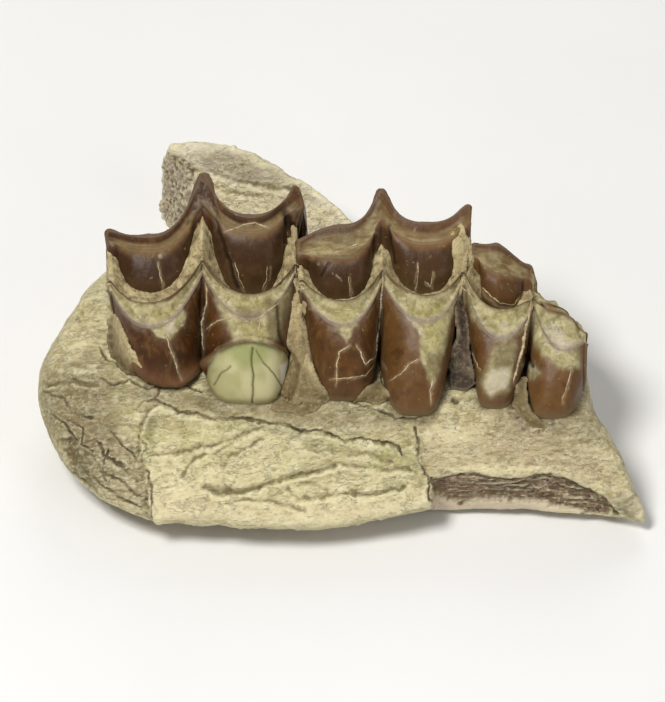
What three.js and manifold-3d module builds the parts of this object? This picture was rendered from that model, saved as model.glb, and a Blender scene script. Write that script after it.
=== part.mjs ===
// Fossil oreodont upper jaw: a piece of the maxilla with its last three molars,
// lying teeth up on the broken face above the roots.
//
// Millimetres. X runs along the tooth row, from the back of the mouth (-) to the front (+).
// Y runs from the palate (-) to the cheek (+). Z is up, along the crowns.
import * as THREE from "three";
import { mergeVertices } from "three/addons/utils/BufferGeometryUtils.js";
import Module from "manifold-3d";

const wasm = await Module();
wasm.setup();

const GUM = 13; // height of the socket rims above the flat broken base
const SOCKET_LIP = 0.6; // depth below the rims at which the roots begin
const COLLAR = 0.8; // height above the rims of the swelling at a molar's neck
const ROOT_END = 7; // height at which the root blocks end inside the bone
const ROOT_TAPER = 2.2; // how far the root blocks draw in by then, on each side
const PIT_HALF = 0.45; // half the width of the pit's floor between the cusps
const GAP = 0.35; // clearance between a tooth and what touches it
const LOBE_STEPS = 8; // sections across one lobe of a molar
const MOLAR_STEPS = LOBE_STEPS * 2;
const SECTION_STEP = 1.7; // distance between sections along the bone
const WEATHERING = 0.28; // depth of the weathering on the bone
// The oval spot that the jaw rests on, and how far the rest of the underside rises from it.
const SPOT = { x: 1, y: 6, long: 18, wide: 8, rise: 1 };
// Enamel flaked off the tongue side of the last molar's front lobe, from the neck up to a lip.
const FLAKE = { lobe: 1, depth: 0.75, foot: 0.68, lip: 0.77 };

const FINISH = {
  bone: new THREE.MeshStandardMaterial({ color: 0xc4b88b, roughness: 0.8, metalness: 0 }),
  enamel: new THREE.MeshStandardMaterial({ color: 0x5b4029, roughness: 0.32, metalness: 0 }),
  matrix: new THREE.MeshStandardMaterial({ color: 0xa8966c, roughness: 0.92, metalness: 0 }),
};

const mix = (a, b, t) => a + (b - a) * t;

// Value at x of a smooth curve through (xs, values) that never overshoots them.
function steady(xs, values, x) {
  const last = xs.length - 1;
  let i = xs.findIndex((s) => s > x) - 1;
  if (x >= xs[last]) i = last - 1;
  if (i < 0) i = 0;
  const rise = (k) => (values[k + 1] - values[k]) / (xs[k + 1] - xs[k]);
  const slope = (k) => {
    if (k === 0 || k === last) return 0;
    const [before, after] = [rise(k - 1), rise(k)];
    return before * after <= 0 ? 0 : (2 * before * after) / (before + after);
  };
  const width = xs[i + 1] - xs[i];
  const t = THREE.MathUtils.clamp((x - xs[i]) / width, 0, 1);
  return (
    values[i] * (1 + 2 * t) * (1 - t) ** 2 +
    values[i + 1] * (3 - 2 * t) * t ** 2 +
    slope(i) * width * t * (1 - t) ** 2 -
    slope(i + 1) * width * (1 - t) * t ** 2
  );
}

// Closed skin over a row of rings that have the same number of points. The two end
// rings are capped in the plane of the two axes named.
function loft(rings, axes = ["y", "z"]) {
  const around = rings[0].length;
  const index = [];
  for (let r = 0; r < rings.length - 1; r++)
    for (let k = 0; k < around; k++) {
      const [a, b] = [r * around + k, r * around + ((k + 1) % around)];
      index.push(a, b, b + around, a, b + around, a + around);
    }
  for (const [r, facing] of [[0, -1], [rings.length - 1, 1]]) {
    const flat = rings[r].map((p) => new THREE.Vector2(p[axes[0]], p[axes[1]]));
    const way = Math.sign(THREE.ShapeUtils.area(flat)) * facing;
    for (const face of THREE.ShapeUtils.triangulateShape(flat, [])) {
      const turned = Math.sign(THREE.ShapeUtils.area(face.map((i) => flat[i]))) !== way;
      index.push(...(turned ? face.reverse() : face).map((i) => r * around + i));
    }
  }
  const geometry = new THREE.BufferGeometry().setFromPoints(rings.flat());
  return geometry.setIndex(index);
}

// Geometry as a solid that can be joined and cut, with its faces turned outwards.
function solid(geometry) {
  const bare = mergeVertices(
    new THREE.BufferGeometry()
      .setAttribute("position", geometry.getAttribute("position"))
      .setIndex(geometry.index),
    1e-3,
  );
  const made = (triVerts) =>
    new wasm.Manifold(
      new wasm.Mesh({ numProp: 3, vertProperties: bare.attributes.position.array, triVerts }),
    );
  const faces = new Uint32Array(bare.index.array);
  const first = made(faces);
  return first.volume() > 0 ? first : made(faces.reverse());
}

function meshOf(name, body, finish) {
  const { vertProperties, triVerts } = body.getMesh();
  const geometry = new THREE.BufferGeometry();
  geometry.setAttribute("position", new THREE.BufferAttribute(vertProperties, 3));
  geometry.setIndex(new THREE.BufferAttribute(triVerts, 1));
  geometry.computeVertexNormals();
  const mesh = new THREE.Mesh(geometry, finish);
  mesh.name = name;
  return mesh;
}

// The same skin moved outwards by a distance, as the room that a piece needs around it.
function swollen(geometry, by) {
  const body = solid(geometry).getMesh();
  const skin = new THREE.BufferGeometry();
  skin.setAttribute("position", new THREE.BufferAttribute(body.vertProperties, 3));
  skin.setIndex(new THREE.BufferAttribute(body.triVerts, 1));
  skin.computeVertexNormals();
  const at = skin.attributes.position.array;
  skin.attributes.normal.array.forEach((out, i) => (at[i] += by * out));
  return skin;
}

// A small lump field, the same on every run, for weathered and broken surfaces.
function lumps(p) {
  return (
    Math.sin(0.9 * p.x + 1.3 * p.y) * Math.cos(1.1 * p.z - 0.5 * p.x) +
    0.6 * Math.sin(2.1 * p.x - 1.7 * p.y + 1.9 * p.z)
  );
}

// A molar is two lobes side by side. Its stations are the back end, the middle of the
// back lobe, the notch between the lobes, the middle of the front lobe and the front end.
// Each gives x of the neck, of the tongue side crest and of the cheek side crest, then
// [y, z] of the worn band's outer and inner edge, the pit behind it, the top of the cheek
// side cusp's inner face and its crest, and y of the neck on both sides.
const MOLAR_3 = [
  {
    x: [-24.2, -25.0, -25.3], neck: 10.5, outer: [8.2, 21.6], inner: [8.9, 22.4],
    pit: [11.3, 19.4], rise: [14.2, 22.9], crest: [15.3, 23.5], back: 18.5,
  },
  {
    x: [-18.8, -20.8, -20.8], neck: 2.1, outer: [3.9, 20.6], inner: [6.0, 22.1],
    pit: [7.9, 18.5], rise: [12.6, 23.3], crest: [13.8, 24.2], back: 20,
  },
  {
    x: [-15.2, -15.1, -15.1], neck: 5.8, outer: [11.0, 21.6], inner: [11.9, 22.5],
    pit: [14.2, 20.4], rise: [17.5, 25], crest: [21.1, 26], back: 22.2,
  },
  {
    x: [-10.0, -9.8, -9.8], neck: -0.6, outer: [5.0, 20.9], inner: [7.6, 21.7],
    pit: [9.8, 17.8], rise: [14.6, 24.1], crest: [16, 25], back: 21.5,
  },
  {
    x: [-5.9, -5.0, -5.1], neck: 6.8, outer: [10.9, 21.5], inner: [11.6, 22.1],
    pit: [13.8, 19.5], rise: [17.8, 24.6], crest: [20, 25.5], back: 21.2,
  },
];
const MOLAR_2 = [
  {
    x: [-3.8, -4.1, -4.4], neck: 7.5, outer: [8.9, 21.1], inner: [9.7, 21.7],
    pit: [11, 19.2], rise: [12.7, 22.6], crest: [14, 23.3], back: 18.5,
  },
  {
    x: [0.8, 0.4, 0.4], neck: 0, outer: [4.2, 20.5], inner: [6.8, 21.6],
    pit: [8.3, 18.6], rise: [11.9, 22.9], crest: [15.4, 24.2], back: 19.8,
  },
  {
    x: [4.2, 4.6, 4.5], neck: 6.0, outer: [10.1, 21.3], inner: [11, 22],
    pit: [12.8, 20.2], rise: [15.9, 24.7], crest: [19.1, 25.6], back: 20.8,
  },
  {
    x: [8.3, 9.3, 9.3], neck: -2.0, outer: [4.8, 20.4], inner: [7.7, 21.5],
    pit: [9.3, 18.6], rise: [13.7, 23.2], crest: [15.9, 24], back: 19.8,
  },
  {
    x: [12.2, 13.3, 14.0], neck: 7.0, outer: [9.8, 21.1], inner: [10.7, 21.8],
    pit: [12.6, 19.5], rise: [15.6, 24.3], crest: [17.7, 25], back: 19.5,
  },
];
const MOLAR_1 = [
  {
    x: [14.4, 14.0, 14.8], neck: 7.0, outer: [8.6, 20.3], inner: [9.5, 21],
    pit: [11, 18.5], rise: [12.9, 21.8], crest: [14.2, 22.5], back: 17,
  },
  {
    x: [16.3, 17.4, 17.2], neck: -1, outer: [3.3, 19.3], inner: [6.6, 20.5],
    pit: [8, 17.6], rise: [10.8, 21.4], crest: [14.3, 22.3], back: 18,
  },
  {
    x: [20.2, 21.2, 20.8], neck: 4.3, outer: [7.6, 20.1], inner: [8.4, 20.7],
    pit: [10, 18.3], rise: [11.8, 19.4], crest: [13.2, 19.4], back: 16.5,
  },
  {
    x: [22.5, 24.2, 23.6], neck: -2.4, outer: [2.6, 18.3], inner: [6.4, 19.8],
    pit: [7.6, 18.4], rise: [9, 17.8], crest: [10, 17], back: 13.5,
  },
  {
    x: [26.6, 26.7, 26.0], neck: 1.5, outer: [4.2, 17.6], inner: [5.2, 18.2],
    pit: [6.5, 17], rise: [7.6, 16], crest: [8.5, 15.5], back: 11,
  },
];

// The station at a share t, from 0 to 1, of the way along a molar. Between the middle of
// a lobe and its ends every edge sweeps back in the curve of a crescent.
function stationAt(stations, t) {
  const place = Math.min(t * 2, 1.999999);
  const lobe = Math.floor(place);
  const u = (place - lobe) * 2 - 1;
  const [left, middle, right] = stations.slice(lobe * 2, lobe * 2 + 3);
  const end = u < 0 ? left : right;
  const sweep = (power) => (a, b) => mix(a, b, Math.abs(u) ** power);
  const [full, round, deep, plain] = [2.7, 1.9, 2.2, 1].map(sweep);
  const pair = (key, curve) => middle[key].map((v, i) => curve(v, end[key][i]));
  return {
    x: middle.x.map((v, i) => plain(v, end.x[i])),
    neck: full(middle.neck, end.neck),
    root: plain(middle.neck, end.neck) + ROOT_TAPER,
    outer: pair("outer", deep),
    inner: pair("inner", deep),
    pit: pair("pit", deep),
    rise: pair("rise", deep),
    crest: pair("crest", deep),
    back: round(middle.back, end.back),
  };
}

// Points of a section on the tongue side, which leans from the neck, and on the cheek side.
const tongueSide = (s, [y, z]) =>
  new THREE.Vector3(mix(s.x[0], s.x[1], (z - GUM) / (s.outer[1] - GUM)), y, z);
const cheekSide = (s, [y, z]) => new THREE.Vector3(s.x[2], y, z);

// One cross-section of a molar, from the root block on the tongue side, over the worn
// crescent, the pit and the tall cheek side cusp, down to the root block again. The tongue
// side wall stands back by flaked below the lip of the enamel.
function molarSection(s, flaked) {
  const bulge = 0.75; // how far the walls swell out of the straight line
  const wall = (y0, y1, z0, z1, t, out) => [mix(y0, y1, t) + out, mix(z0, z1, t)];
  const tongue = (yz) => tongueSide(s, yz);
  const cheek = (yz) => cheekSide(s, yz);
  const collar = s.neck - 0.15;
  const tongueWall = (t, inset) =>
    tongue(wall(collar, s.outer[0], GUM + COLLAR, s.outer[1], t, inset - bulge));
  const cheekWall = (t, out) => cheek(wall(s.crest[0], s.back, s.crest[1], GUM, t, out));
  return [
    new THREE.Vector3(s.x[0], s.root, ROOT_END),
    new THREE.Vector3(s.x[0], s.neck, GUM - SOCKET_LIP),
    new THREE.Vector3(s.x[0], collar + flaked, GUM + COLLAR),
    tongueWall(0.3, flaked),
    tongueWall(FLAKE.foot, flaked),
    tongueWall(FLAKE.lip, 0.1),
    tongue(s.outer),
    tongue([mix(s.outer[0], s.inner[0], 0.5), mix(s.outer[1], s.inner[1], 0.5) - 0.2]),
    tongue(s.inner),
    tongue([s.pit[0] - PIT_HALF, s.pit[1]]),
    cheek([s.pit[0] + PIT_HALF, s.pit[1]]),
    cheek(wall(s.pit[0] + PIT_HALF, s.rise[0], s.pit[1], s.rise[1], 0.55, -0.35)),
    cheek(s.rise),
    cheek([mix(s.rise[0], s.crest[0], 0.55), mix(s.rise[1], s.crest[1], 0.5) - 0.15]),
    cheek(s.crest),
    cheekWall(0.35, 0.45),
    cheekWall(0.75, 0.3),
    cheek([s.back, GUM - SOCKET_LIP]),
    cheek([s.back - ROOT_TAPER, ROOT_END]),
  ];
}

function molarSkin(stations, flake) {
  const rings = [];
  for (let i = 0; i <= MOLAR_STEPS; i++) {
    const t = i / MOLAR_STEPS;
    const acrossLobe = Math.abs(4 * t - 1 - 2 * (flake?.lobe ?? 0));
    const flaked = flake ? flake.depth * (1 - THREE.MathUtils.smoothstep(acrossLobe, 0.6, 0.95)) : 0;
    rings.push(molarSection(stationAt(stations, t), flaked));
  }
  return loft(rings);
}

// Rock left in the pits of one molar, between its tongue side and cheek side cusps, over
// the molar's own sections from first to last. The fill is a share of the pit's depth at
// the middle of each lobe, and the notch has its own.
function pitFill(stations, { first, last, fill, frontFill = fill, notchFill }) {
  const rings = [];
  for (let i = first; i <= last; i++) {
    const t = i / MOLAR_STEPS;
    const s = stationAt(stations, t);
    const nearNotch = Math.max(0, 1 - Math.abs(t - 0.5) / 0.12);
    const share = mix(t < 0.5 ? fill : frontFill, notchFill, nearNotch);
    const floor = s.pit[1] + 2 * GAP;
    const top = mix(s.pit[1], Math.min(s.inner[1], s.rise[1]), share);
    const up = (top - s.pit[1]) / (s.inner[1] - s.pit[1]);
    const over = (top - s.pit[1]) / (s.rise[1] - s.pit[1]);
    const near = mix(s.pit[0] - PIT_HALF, s.inner[0], up) + GAP;
    const far = mix(s.pit[0] + PIT_HALF, s.rise[0], over) - 2 * GAP;
    const between = mix(near, far, 0.5);
    const x = mix(s.x[1], s.x[2], 0.5);
    rings.push([
      new THREE.Vector3(x, s.pit[0], floor),
      tongueSide(s, [near, top - 0.15]),
      new THREE.Vector3(x, between, top + 0.1),
      cheekSide(s, [far, top]),
    ]);
  }
  return loft(rings);
}

// The bone is a row of cross-sections. Each row gives x, then [y, z] of nine points, which
// run from the front of the flat base, over the palate's broken edge, the palate, the
// socket rims and the cheek wall, to the back of the base.
const BONE = [
  [
    -33.3, [5, 5.6], [3.4, 6.2], [2.8, 7.5], [3.2, 8.9], [4.2, 9.8],
    [5.6, 10], [7, 9.4], [7.4, 7.6], [6.5, 6.2],
  ],
  [
    -32, [5, 3], [0.5, 5], [-0.3, 7], [0.5, 9.5], [3, 11.2],
    [6, 11.7], [9.6, 10.9], [11, 7.5], [8, 4],
  ],
  [
    -30.4, [4, 1.6], [-3, 5], [-3.4, 6.5], [-1, 9.6], [2.4, 11.7],
    [7.4, 12.4], [12.6, 11.2], [13.6, 7.2], [10, 2.4],
  ],
  [
    -28.4, [1, 0.4], [-5.4, 4.9], [-5.7, 6.1], [-2.8, 9.3], [1.3, 12.1],
    [8.6, 12.9], [17.2, 11.6], [18, 7], [13.4, 1],
  ],
  [
    -26, [-1, 0], [-7.4, 4.6], [-7.6, 5.9], [-4, 8.9], [0.5, 12.2],
    [9, 13.1], [19.2, 12.4], [20.9, 7], [16, 0],
  ],
  [
    -21, [-4, 0], [-10, 4.2], [-10.1, 5.7], [-5.2, 8.3], [0.6, 12.5],
    [10, 13.3], [21.3, 12.8], [22.7, 6.5], [19, 0],
  ],
  [
    -14, [-5, 0], [-10.5, 4.3], [-10.6, 5.7], [-5.6, 8.1], [-0.6, 12.5],
    [10, 13.4], [22.8, 12.8], [24, 6], [19, 0],
  ],
  [
    -5, [-5, 0], [-11, 3.6], [-11.2, 5.1], [-6.2, 7.5], [-2, 12.1],
    [9, 13.4], [22.3, 12.6], [23.4, 6], [18, 0],
  ],
  [
    5, [-5, 0], [-9.6, 4.1], [-9.8, 5.5], [-6.2, 7.3], [-2.6, 12.2],
    [9, 13.4], [21.4, 12.5], [22.3, 6], [17, 0],
  ],
  [
    10, [-5, 0], [-8.3, 4.4], [-8.6, 5.8], [-6, 7.2], [-3.4, 12],
    [9, 13.4], [20.6, 12.4], [21.6, 6], [16.5, 0],
  ],
  [
    10.5, [-5, 0], [-6, 0.3], [-6, 6.7], [-5, 8], [-3.4, 12],
    [9, 13.4], [20.5, 12.4], [21.5, 6], [16.5, 0],
  ],
  [
    18, [-5, 0], [-6.2, 0.5], [-6.1, 6.6], [-4.8, 8], [-2.6, 12],
    [8, 13.3], [18.8, 12.3], [20, 6], [15, 0],
  ],
  [
    24, [-5.4, 0], [-7, 0.6], [-5.6, 7], [-4.8, 8.6], [-3.4, 12],
    [6, 13], [13.6, 12], [15, 6], [11, 0],
  ],
  [
    26.4, [-5.4, 0], [-7.2, 0.6], [-5.8, 6.8], [-4.9, 8.6], [-3.4, 11.8],
    [3, 12.4], [8.8, 11.2], [9.6, 5.6], [6, 0],
  ],
  [
    28, [-5.5, 0], [-7.4, 0.7], [-6.3, 6], [-5.2, 8.2], [-3.9, 10.6],
    [-1.6, 11], [0.9, 10.2], [1.9, 5], [-0.5, 0.2],
  ],
  [
    31, [-6, 0.3], [-8, 0.9], [-7.6, 4.2], [-6.4, 6.4], [-5, 7.8],
    [-3.9, 7.7], [-2.8, 6.5], [-2.2, 3.4], [-3.4, 0.6],
  ],
  [
    33.6, [-8, 0.5], [-8.7, 1], [-8.7, 2.1], [-8.1, 2.9], [-7.4, 2.9],
    [-7, 2.4], [-6.8, 1.7], [-7, 1], [-7.4, 0.6],
  ],
];

// Height of the underside above the spot that the jaw rests on.
function undersideRise(p) {
  const out = Math.hypot((p.x - SPOT.x) / SPOT.long, (p.y - SPOT.y) / SPOT.wide);
  const low = 1 - THREE.MathUtils.smoothstep(p.z, 0, 2.5);
  return SPOT.rise * low * THREE.MathUtils.smoothstep(out, 1, 2.1) * (1 + 0.35 * lumps(p));
}

function boneSkin() {
  const xs = BONE.map(([x]) => x);
  const pointAt = (k, x) =>
    new THREE.Vector3(x, ...[0, 1].map((axis) => steady(xs, BONE.map((row) => row[k + 1][axis]), x)));
  const places = xs.slice(1).flatMap((b, i) => {
    const count = Math.max(1, Math.round((b - xs[i]) / SECTION_STEP));
    return Array.from({ length: count }, (_, k) => mix(xs[i], b, (k + 1) / count));
  });
  const rings = [xs[0], ...places].map((x) => {
    const at = BONE[0].slice(1).map((_, k) => pointAt(k, x));
    const over = new THREE.CatmullRomCurve3(at.slice(2), false, "centripetal").getPoints(20);
    const edge = new THREE.LineCurve3(at[1], at[2]).getPoints(2).slice(0, 2);
    const under = new THREE.LineCurve3(at[0], at[1]).getPoints(2).slice(0, 2);
    const base = new THREE.LineCurve3(at[8], at[0]).getPoints(6).slice(1, 6);
    return [...under, ...edge, ...over, ...base].map((p) => {
      const away = THREE.MathUtils.smoothstep(p.z, 0.4, 2.5);
      return p.setZ(p.z + WEATHERING * away * lumps(p) + undersideRise(p));
    });
  });
  return loft(rings);
}

// Root of the cheek arch: seven points around each section, from the broken end at the
// back of the mouth to where it springs from the cheek wall. The first is on the rim.
const ARCH = [
  [
    [-20, 39.2, 11.5], [-17.4, 37.4, 11.2], [-15.8, 35.6, 9],
    [-17, 33.6, 4.9], [-18.3, 33, 2.5], [-20.6, 36.5, 1.8], [-20.5, 38, 4.3],
  ],
  [
    [-14, 38.7, 12], [-13.4, 36.2, 11.2], [-12.6, 33.5, 7.7],
    [-13, 31, 4.2], [-14, 30.5, 1.6], [-15.5, 35, 0.9], [-15, 38.4, 4.5],
  ],
  [
    [-8, 36, 11.5], [-7.6, 33.5, 10.5], [-7.2, 30.4, 7],
    [-7.2, 28, 4.2], [-8, 27, 1.4], [-9, 32.5, 0.6], [-9, 36.3, 4.5],
  ],
  [
    [-2, 31.2, 11.2], [-2, 28.8, 10.2], [-2, 26.4, 7.8],
    [-2, 24, 5.5], [-2, 21, 1], [-2.6, 27, 0.5], [-2.6, 31.6, 4],
  ],
  [
    [3, 25.8, 10.8], [3, 24, 10.3], [3, 22, 9.4],
    [3, 20, 8], [3, 17, 1], [3, 22.6, 0.5], [3, 25.6, 4],
  ],
  [
    [8, 21, 9.6], [8, 20.4, 9.4], [8, 19.5, 9],
    [8, 18.4, 8], [8, 16, 1.4], [8, 18.6, 1], [8, 20.8, 4],
  ],
];
const ARCH_STEPS = 3; // rings from one section of the arch to the next
const ARCH_ROUND = 14; // points around each ring

function archSkin() {
  const steps = (ARCH.length - 1) * ARCH_STEPS;
  const rails = ARCH[0].map((_, k) => {
    const points = ARCH.map((ring) => new THREE.Vector3(...ring[k]));
    return new THREE.CatmullRomCurve3(points, false, "centripetal");
  });
  const rings = [];
  for (let i = 0; i <= steps; i++) {
    const corners = rails.map((rail) => rail.getPoint(i / steps));
    const round = new THREE.CatmullRomCurve3(corners, true, "centripetal");
    const ring = round.getPoints(ARCH_ROUND).slice(0, ARCH_ROUND);
    rings.push(ring.map((p) => p.setZ(Math.max(0, p.z + WEATHERING * lumps(p)))));
  }
  return loft(rings);
}

// Wedge of rock between two molars, standing on the bone: rings from the foot to the top.
function rockWedge({ foot, top, depth }) {
  const rings = [];
  const steps = 6;
  for (let i = 0; i <= steps; i++) {
    const t = i / steps;
    const left = mix(foot.left, top.left, t ** 0.8);
    const right = mix(foot.right, top.right, t ** 0.8);
    const front = mix(foot.y, top.y, t);
    const rear = mix(foot.y + depth, top.y + 1.2, t);
    const z = mix(foot.z, top.z, t ** 0.85);
    rings.push([
      new THREE.Vector3(left, front + 0.8, z),
      new THREE.Vector3((left + right) / 2, front, z - 0.1),
      new THREE.Vector3(right, front + 0.8, z),
      new THREE.Vector3(right, rear, z),
      new THREE.Vector3(left, rear, z),
    ]);
  }
  return loft(rings, ["x", "y"]);
}

const molars = {
  molar_3: molarSkin(MOLAR_3, FLAKE),
  molar_2: molarSkin(MOLAR_2),
  molar_1: molarSkin(MOLAR_1),
};

// The room that each tooth needs. A wide swelling folds over itself in the deep notches,
// so a narrow one is joined to it.
const room = Object.values(molars).map((skin) =>
  solid(swollen(skin, GAP)).add(solid(swollen(skin, GAP / 3))),
);
const clearOf = (body, others) => others.reduce((left, other) => left.subtract(other), body);
const bone = clearOf(solid(boneSkin()).add(solid(archSkin())), room);
const boneRoom = solid(swollen(boneSkin(), GAP));

// A piece cut clear of the teeth and the bone. Crumbs that the cut leaves are dropped.
function fitted(skin) {
  const cut = clearOf(solid(skin), [...room, boneRoom]);
  return cut.decompose().reduce((most, body) => (body.volume() > most.volume() ? body : most));
}

const PIT_ROCK = [
  [
    "rock_in_molar_3", MOLAR_3,
    { first: 0, last: MOLAR_STEPS - 1, fill: 0.86, frontFill: 0.5, notchFill: 1 },
  ],
  ["rock_in_molar_2", MOLAR_2, { first: 0, last: MOLAR_STEPS, fill: 0.62, notchFill: 0.9 }],
  ["rock_in_molar_1", MOLAR_1, { first: 0, last: LOBE_STEPS - 1, fill: 0.6, notchFill: 0.9 }],
];
const WEDGES = {
  rock_between_molars_3_2: {
    foot: { left: -8.2, right: -1.2, y: -2.4, z: 11.5 },
    top: { left: -5.6, right: -3.6, y: 9, z: 19.6 },
    depth: 12,
  },
  rock_between_molars_2_1: {
    foot: { left: 10.6, right: 16, y: 1.6, z: 12 },
    top: { left: 12.8, right: 14.6, y: 8.6, z: 18.4 },
    depth: 8,
  },
};

const jaw = new THREE.Group();
jaw.name = "oreodont_jaw";
jaw.add(meshOf("maxilla", bone, FINISH.bone));
for (const [name, skin] of Object.entries(molars)) jaw.add(meshOf(name, solid(skin), FINISH.enamel));
for (const [name, stations, place] of PIT_ROCK)
  jaw.add(meshOf(name, solid(pitFill(stations, place)), FINISH.matrix));
for (const [name, place] of Object.entries(WEDGES))
  jaw.add(meshOf(name, fitted(rockWedge(place)), FINISH.matrix));

// The origin is the middle of the footprint, on the surface that the jaw rests on.
const span = new THREE.Box3().setFromObject(jaw);
const middle = span.getCenter(new THREE.Vector3());
jaw.position.set(-middle.x, -middle.y, -span.min.z);

export default jaw;
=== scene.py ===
import math

import bmesh
import bpy
import numpy as np
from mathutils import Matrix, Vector
from mathutils.bvhtree import BVHTree


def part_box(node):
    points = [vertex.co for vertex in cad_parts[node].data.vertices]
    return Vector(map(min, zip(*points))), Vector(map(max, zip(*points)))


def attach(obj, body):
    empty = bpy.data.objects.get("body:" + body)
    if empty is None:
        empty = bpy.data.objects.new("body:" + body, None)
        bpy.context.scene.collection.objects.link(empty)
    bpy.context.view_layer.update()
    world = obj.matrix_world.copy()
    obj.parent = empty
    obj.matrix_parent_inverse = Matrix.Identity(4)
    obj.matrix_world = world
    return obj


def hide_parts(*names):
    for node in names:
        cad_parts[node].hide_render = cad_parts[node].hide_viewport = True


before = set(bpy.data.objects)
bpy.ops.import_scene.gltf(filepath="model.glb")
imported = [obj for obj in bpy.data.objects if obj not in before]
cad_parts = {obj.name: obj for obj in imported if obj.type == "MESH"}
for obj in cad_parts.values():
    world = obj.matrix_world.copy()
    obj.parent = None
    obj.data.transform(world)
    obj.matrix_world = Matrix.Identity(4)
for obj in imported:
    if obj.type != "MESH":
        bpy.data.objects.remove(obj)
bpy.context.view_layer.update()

# The jaw is carved in millimetres, in the frame that its sections are measured in. The
# maxilla's left end and palate edge tie that frame to the row's.
BONE_LEFT_END = -33.3
PALATE_EDGE = -11.2
bone_low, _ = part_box("maxilla")
CARVING_SHIFT = np.array([BONE_LEFT_END - bone_low.x * 1000, PALATE_EDGE - bone_low.y * 1000, 0.0])


def to_row(points):
    """Carving millimetres to the row's metres."""
    return (points - CARVING_SHIFT) / 1000


def to_carving(points):
    """The row's metres to carving millimetres."""
    return points * 1000 + CARVING_SHIFT


# How the photograph looks at the jaw.
PHOTO_WIDTH = 665
PHOTO_HEIGHT = 702
PHOTO_MIDDLE = np.array([PHOTO_WIDTH, PHOTO_HEIGHT]) / 2
CARVING_ORIGIN_PIXEL = np.array([340.0, 474.0])
PIXELS_PER_MM = 9.0
LOOK_DOWN = math.radians(50)
STAND_OFF = 700.0
FOCAL_PIXELS = PIXELS_PER_MM * STAND_OFF
ACROSS = np.array([1.0, 0.0, 0.0])
UPWARD = np.array([0.0, math.sin(LOOK_DOWN), math.cos(LOOK_DOWN)])
AWAY = np.array([0.0, math.cos(LOOK_DOWN), -math.sin(LOOK_DOWN)])
middle_mm = (PHOTO_MIDDLE - CARVING_ORIGIN_PIXEL) / PIXELS_PER_MM
EYE = middle_mm[0] * ACROSS - middle_mm[1] * UPWARD - STAND_OFF * AWAY


def pixels_of(points):
    """Where carving points show in the photograph."""
    seen = points - EYE
    depth = seen @ AWAY
    across = PHOTO_MIDDLE[0] + FOCAL_PIXELS * (seen @ ACROSS) / depth
    down = PHOTO_MIDDLE[1] - FOCAL_PIXELS * (seen @ UPWARD) / depth
    return np.stack([across, down], axis=1)


def sight_line(pixel):
    """Direction from the eye through a pixel of the photograph."""
    right = (pixel[0] - PHOTO_MIDDLE[0]) / FOCAL_PIXELS
    down = (pixel[1] - PHOTO_MIDDLE[1]) / FOCAL_PIXELS
    line = AWAY + right * ACROSS - down * UPWARD
    return line / np.linalg.norm(line)


def add_camera():
    lens = bpy.data.cameras.new("studio_camera")
    lens.sensor_width = 36.0
    lens.lens = lens.sensor_width * FOCAL_PIXELS / PHOTO_HEIGHT
    lens.clip_start = 0.05
    lens.clip_end = 5.0
    camera = bpy.data.objects.new("studio_camera", lens)
    camera.location = Vector(to_row(EYE))
    camera.rotation_mode = "QUATERNION"
    camera.rotation_quaternion = Vector(AWAY).to_track_quat("-Z", "Y")
    bpy.context.scene.collection.objects.link(camera)
    bpy.context.scene.camera = camera


add_camera()


# Smooth numbers that vary over a surface.

def mix(a, b, share):
    return a + (b - a) * share


def ease(low, high, value):
    """0 below low, 1 above high, and a smooth step between."""
    t = np.clip((value - low) / (high - low), 0, 1)
    return t * t * (3 - 2 * t)


def scattered(cells):
    """Whole numbers without order, one for each cell of a grid."""
    x, y, z = cells.T
    return (x * 73856093 ^ y * 19349663 ^ z * 83492791) & 0xFFFFFFFF


def stirred(code):
    return (code ^ code >> 13) * 1274126177 & 0xFFFFFFFF


def lumps(points, size, seed):
    """Smooth random field from -1 to 1 over points, with lumps of a size, in millimetres."""
    place = points / np.asarray(size, float) + 19.7 * seed
    cell = np.floor(place).astype(np.int64)
    inside = place - cell
    inside = inside * inside * (3 - 2 * inside)
    total = np.zeros(len(points))
    for corner in range(8):
        step = np.array([corner & 1, corner >> 1 & 1, corner >> 2 & 1])
        code = stirred(scattered(cell + step))
        value = ((code ^ code >> 16) & 0xFFFF) / 32767.5 - 1
        total += value * np.prod(np.where(step, inside, 1 - inside), axis=1)
    return total


def layered(points, size, seed, layers=3):
    """Lumps with finer and fainter lumps on them."""
    size = np.asarray(size, float)
    total = sum(lumps(points, size / 2**k, seed + k) / 2**k for k in range(layers))
    return total / (2 - 2 ** (1 - layers))


def pores(points, size, seed):
    """Distance to the nearest of scattered centres, as a share of the size between them."""
    place = points / size
    cell = np.floor(place).astype(np.int64)
    nearest = np.full(len(points), 9.0)
    for dx in (-1, 0, 1):
        for dy in (-1, 0, 1):
            for dz in (-1, 0, 1):
                home = cell + np.array([dx, dy, dz])
                code = scattered(home + 31 * seed)
                centre = []
                for _ in range(3):
                    code = stirred(code)
                    centre.append((code & 0xFFFF) / 65536)
                gap = place - home - np.stack(centre, axis=1)
                nearest = np.minimum(nearest, np.sqrt((gap * gap).sum(axis=1)))
    return nearest


def distance_to_line(pixels, line):
    """Distance, in pixels, from each place to a line of straight stretches."""
    line = np.asarray(line, float)
    nearest = np.full(len(pixels), 1e9)
    for start, end in zip(line[:-1], line[1:]):
        along = end - start
        share = np.clip(((pixels - start) @ along) / (along @ along), 0, 1)
        gap = pixels - start - share[:, None] * along
        nearest = np.minimum(nearest, (gap * gap).sum(axis=1))
    return np.sqrt(nearest)


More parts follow.
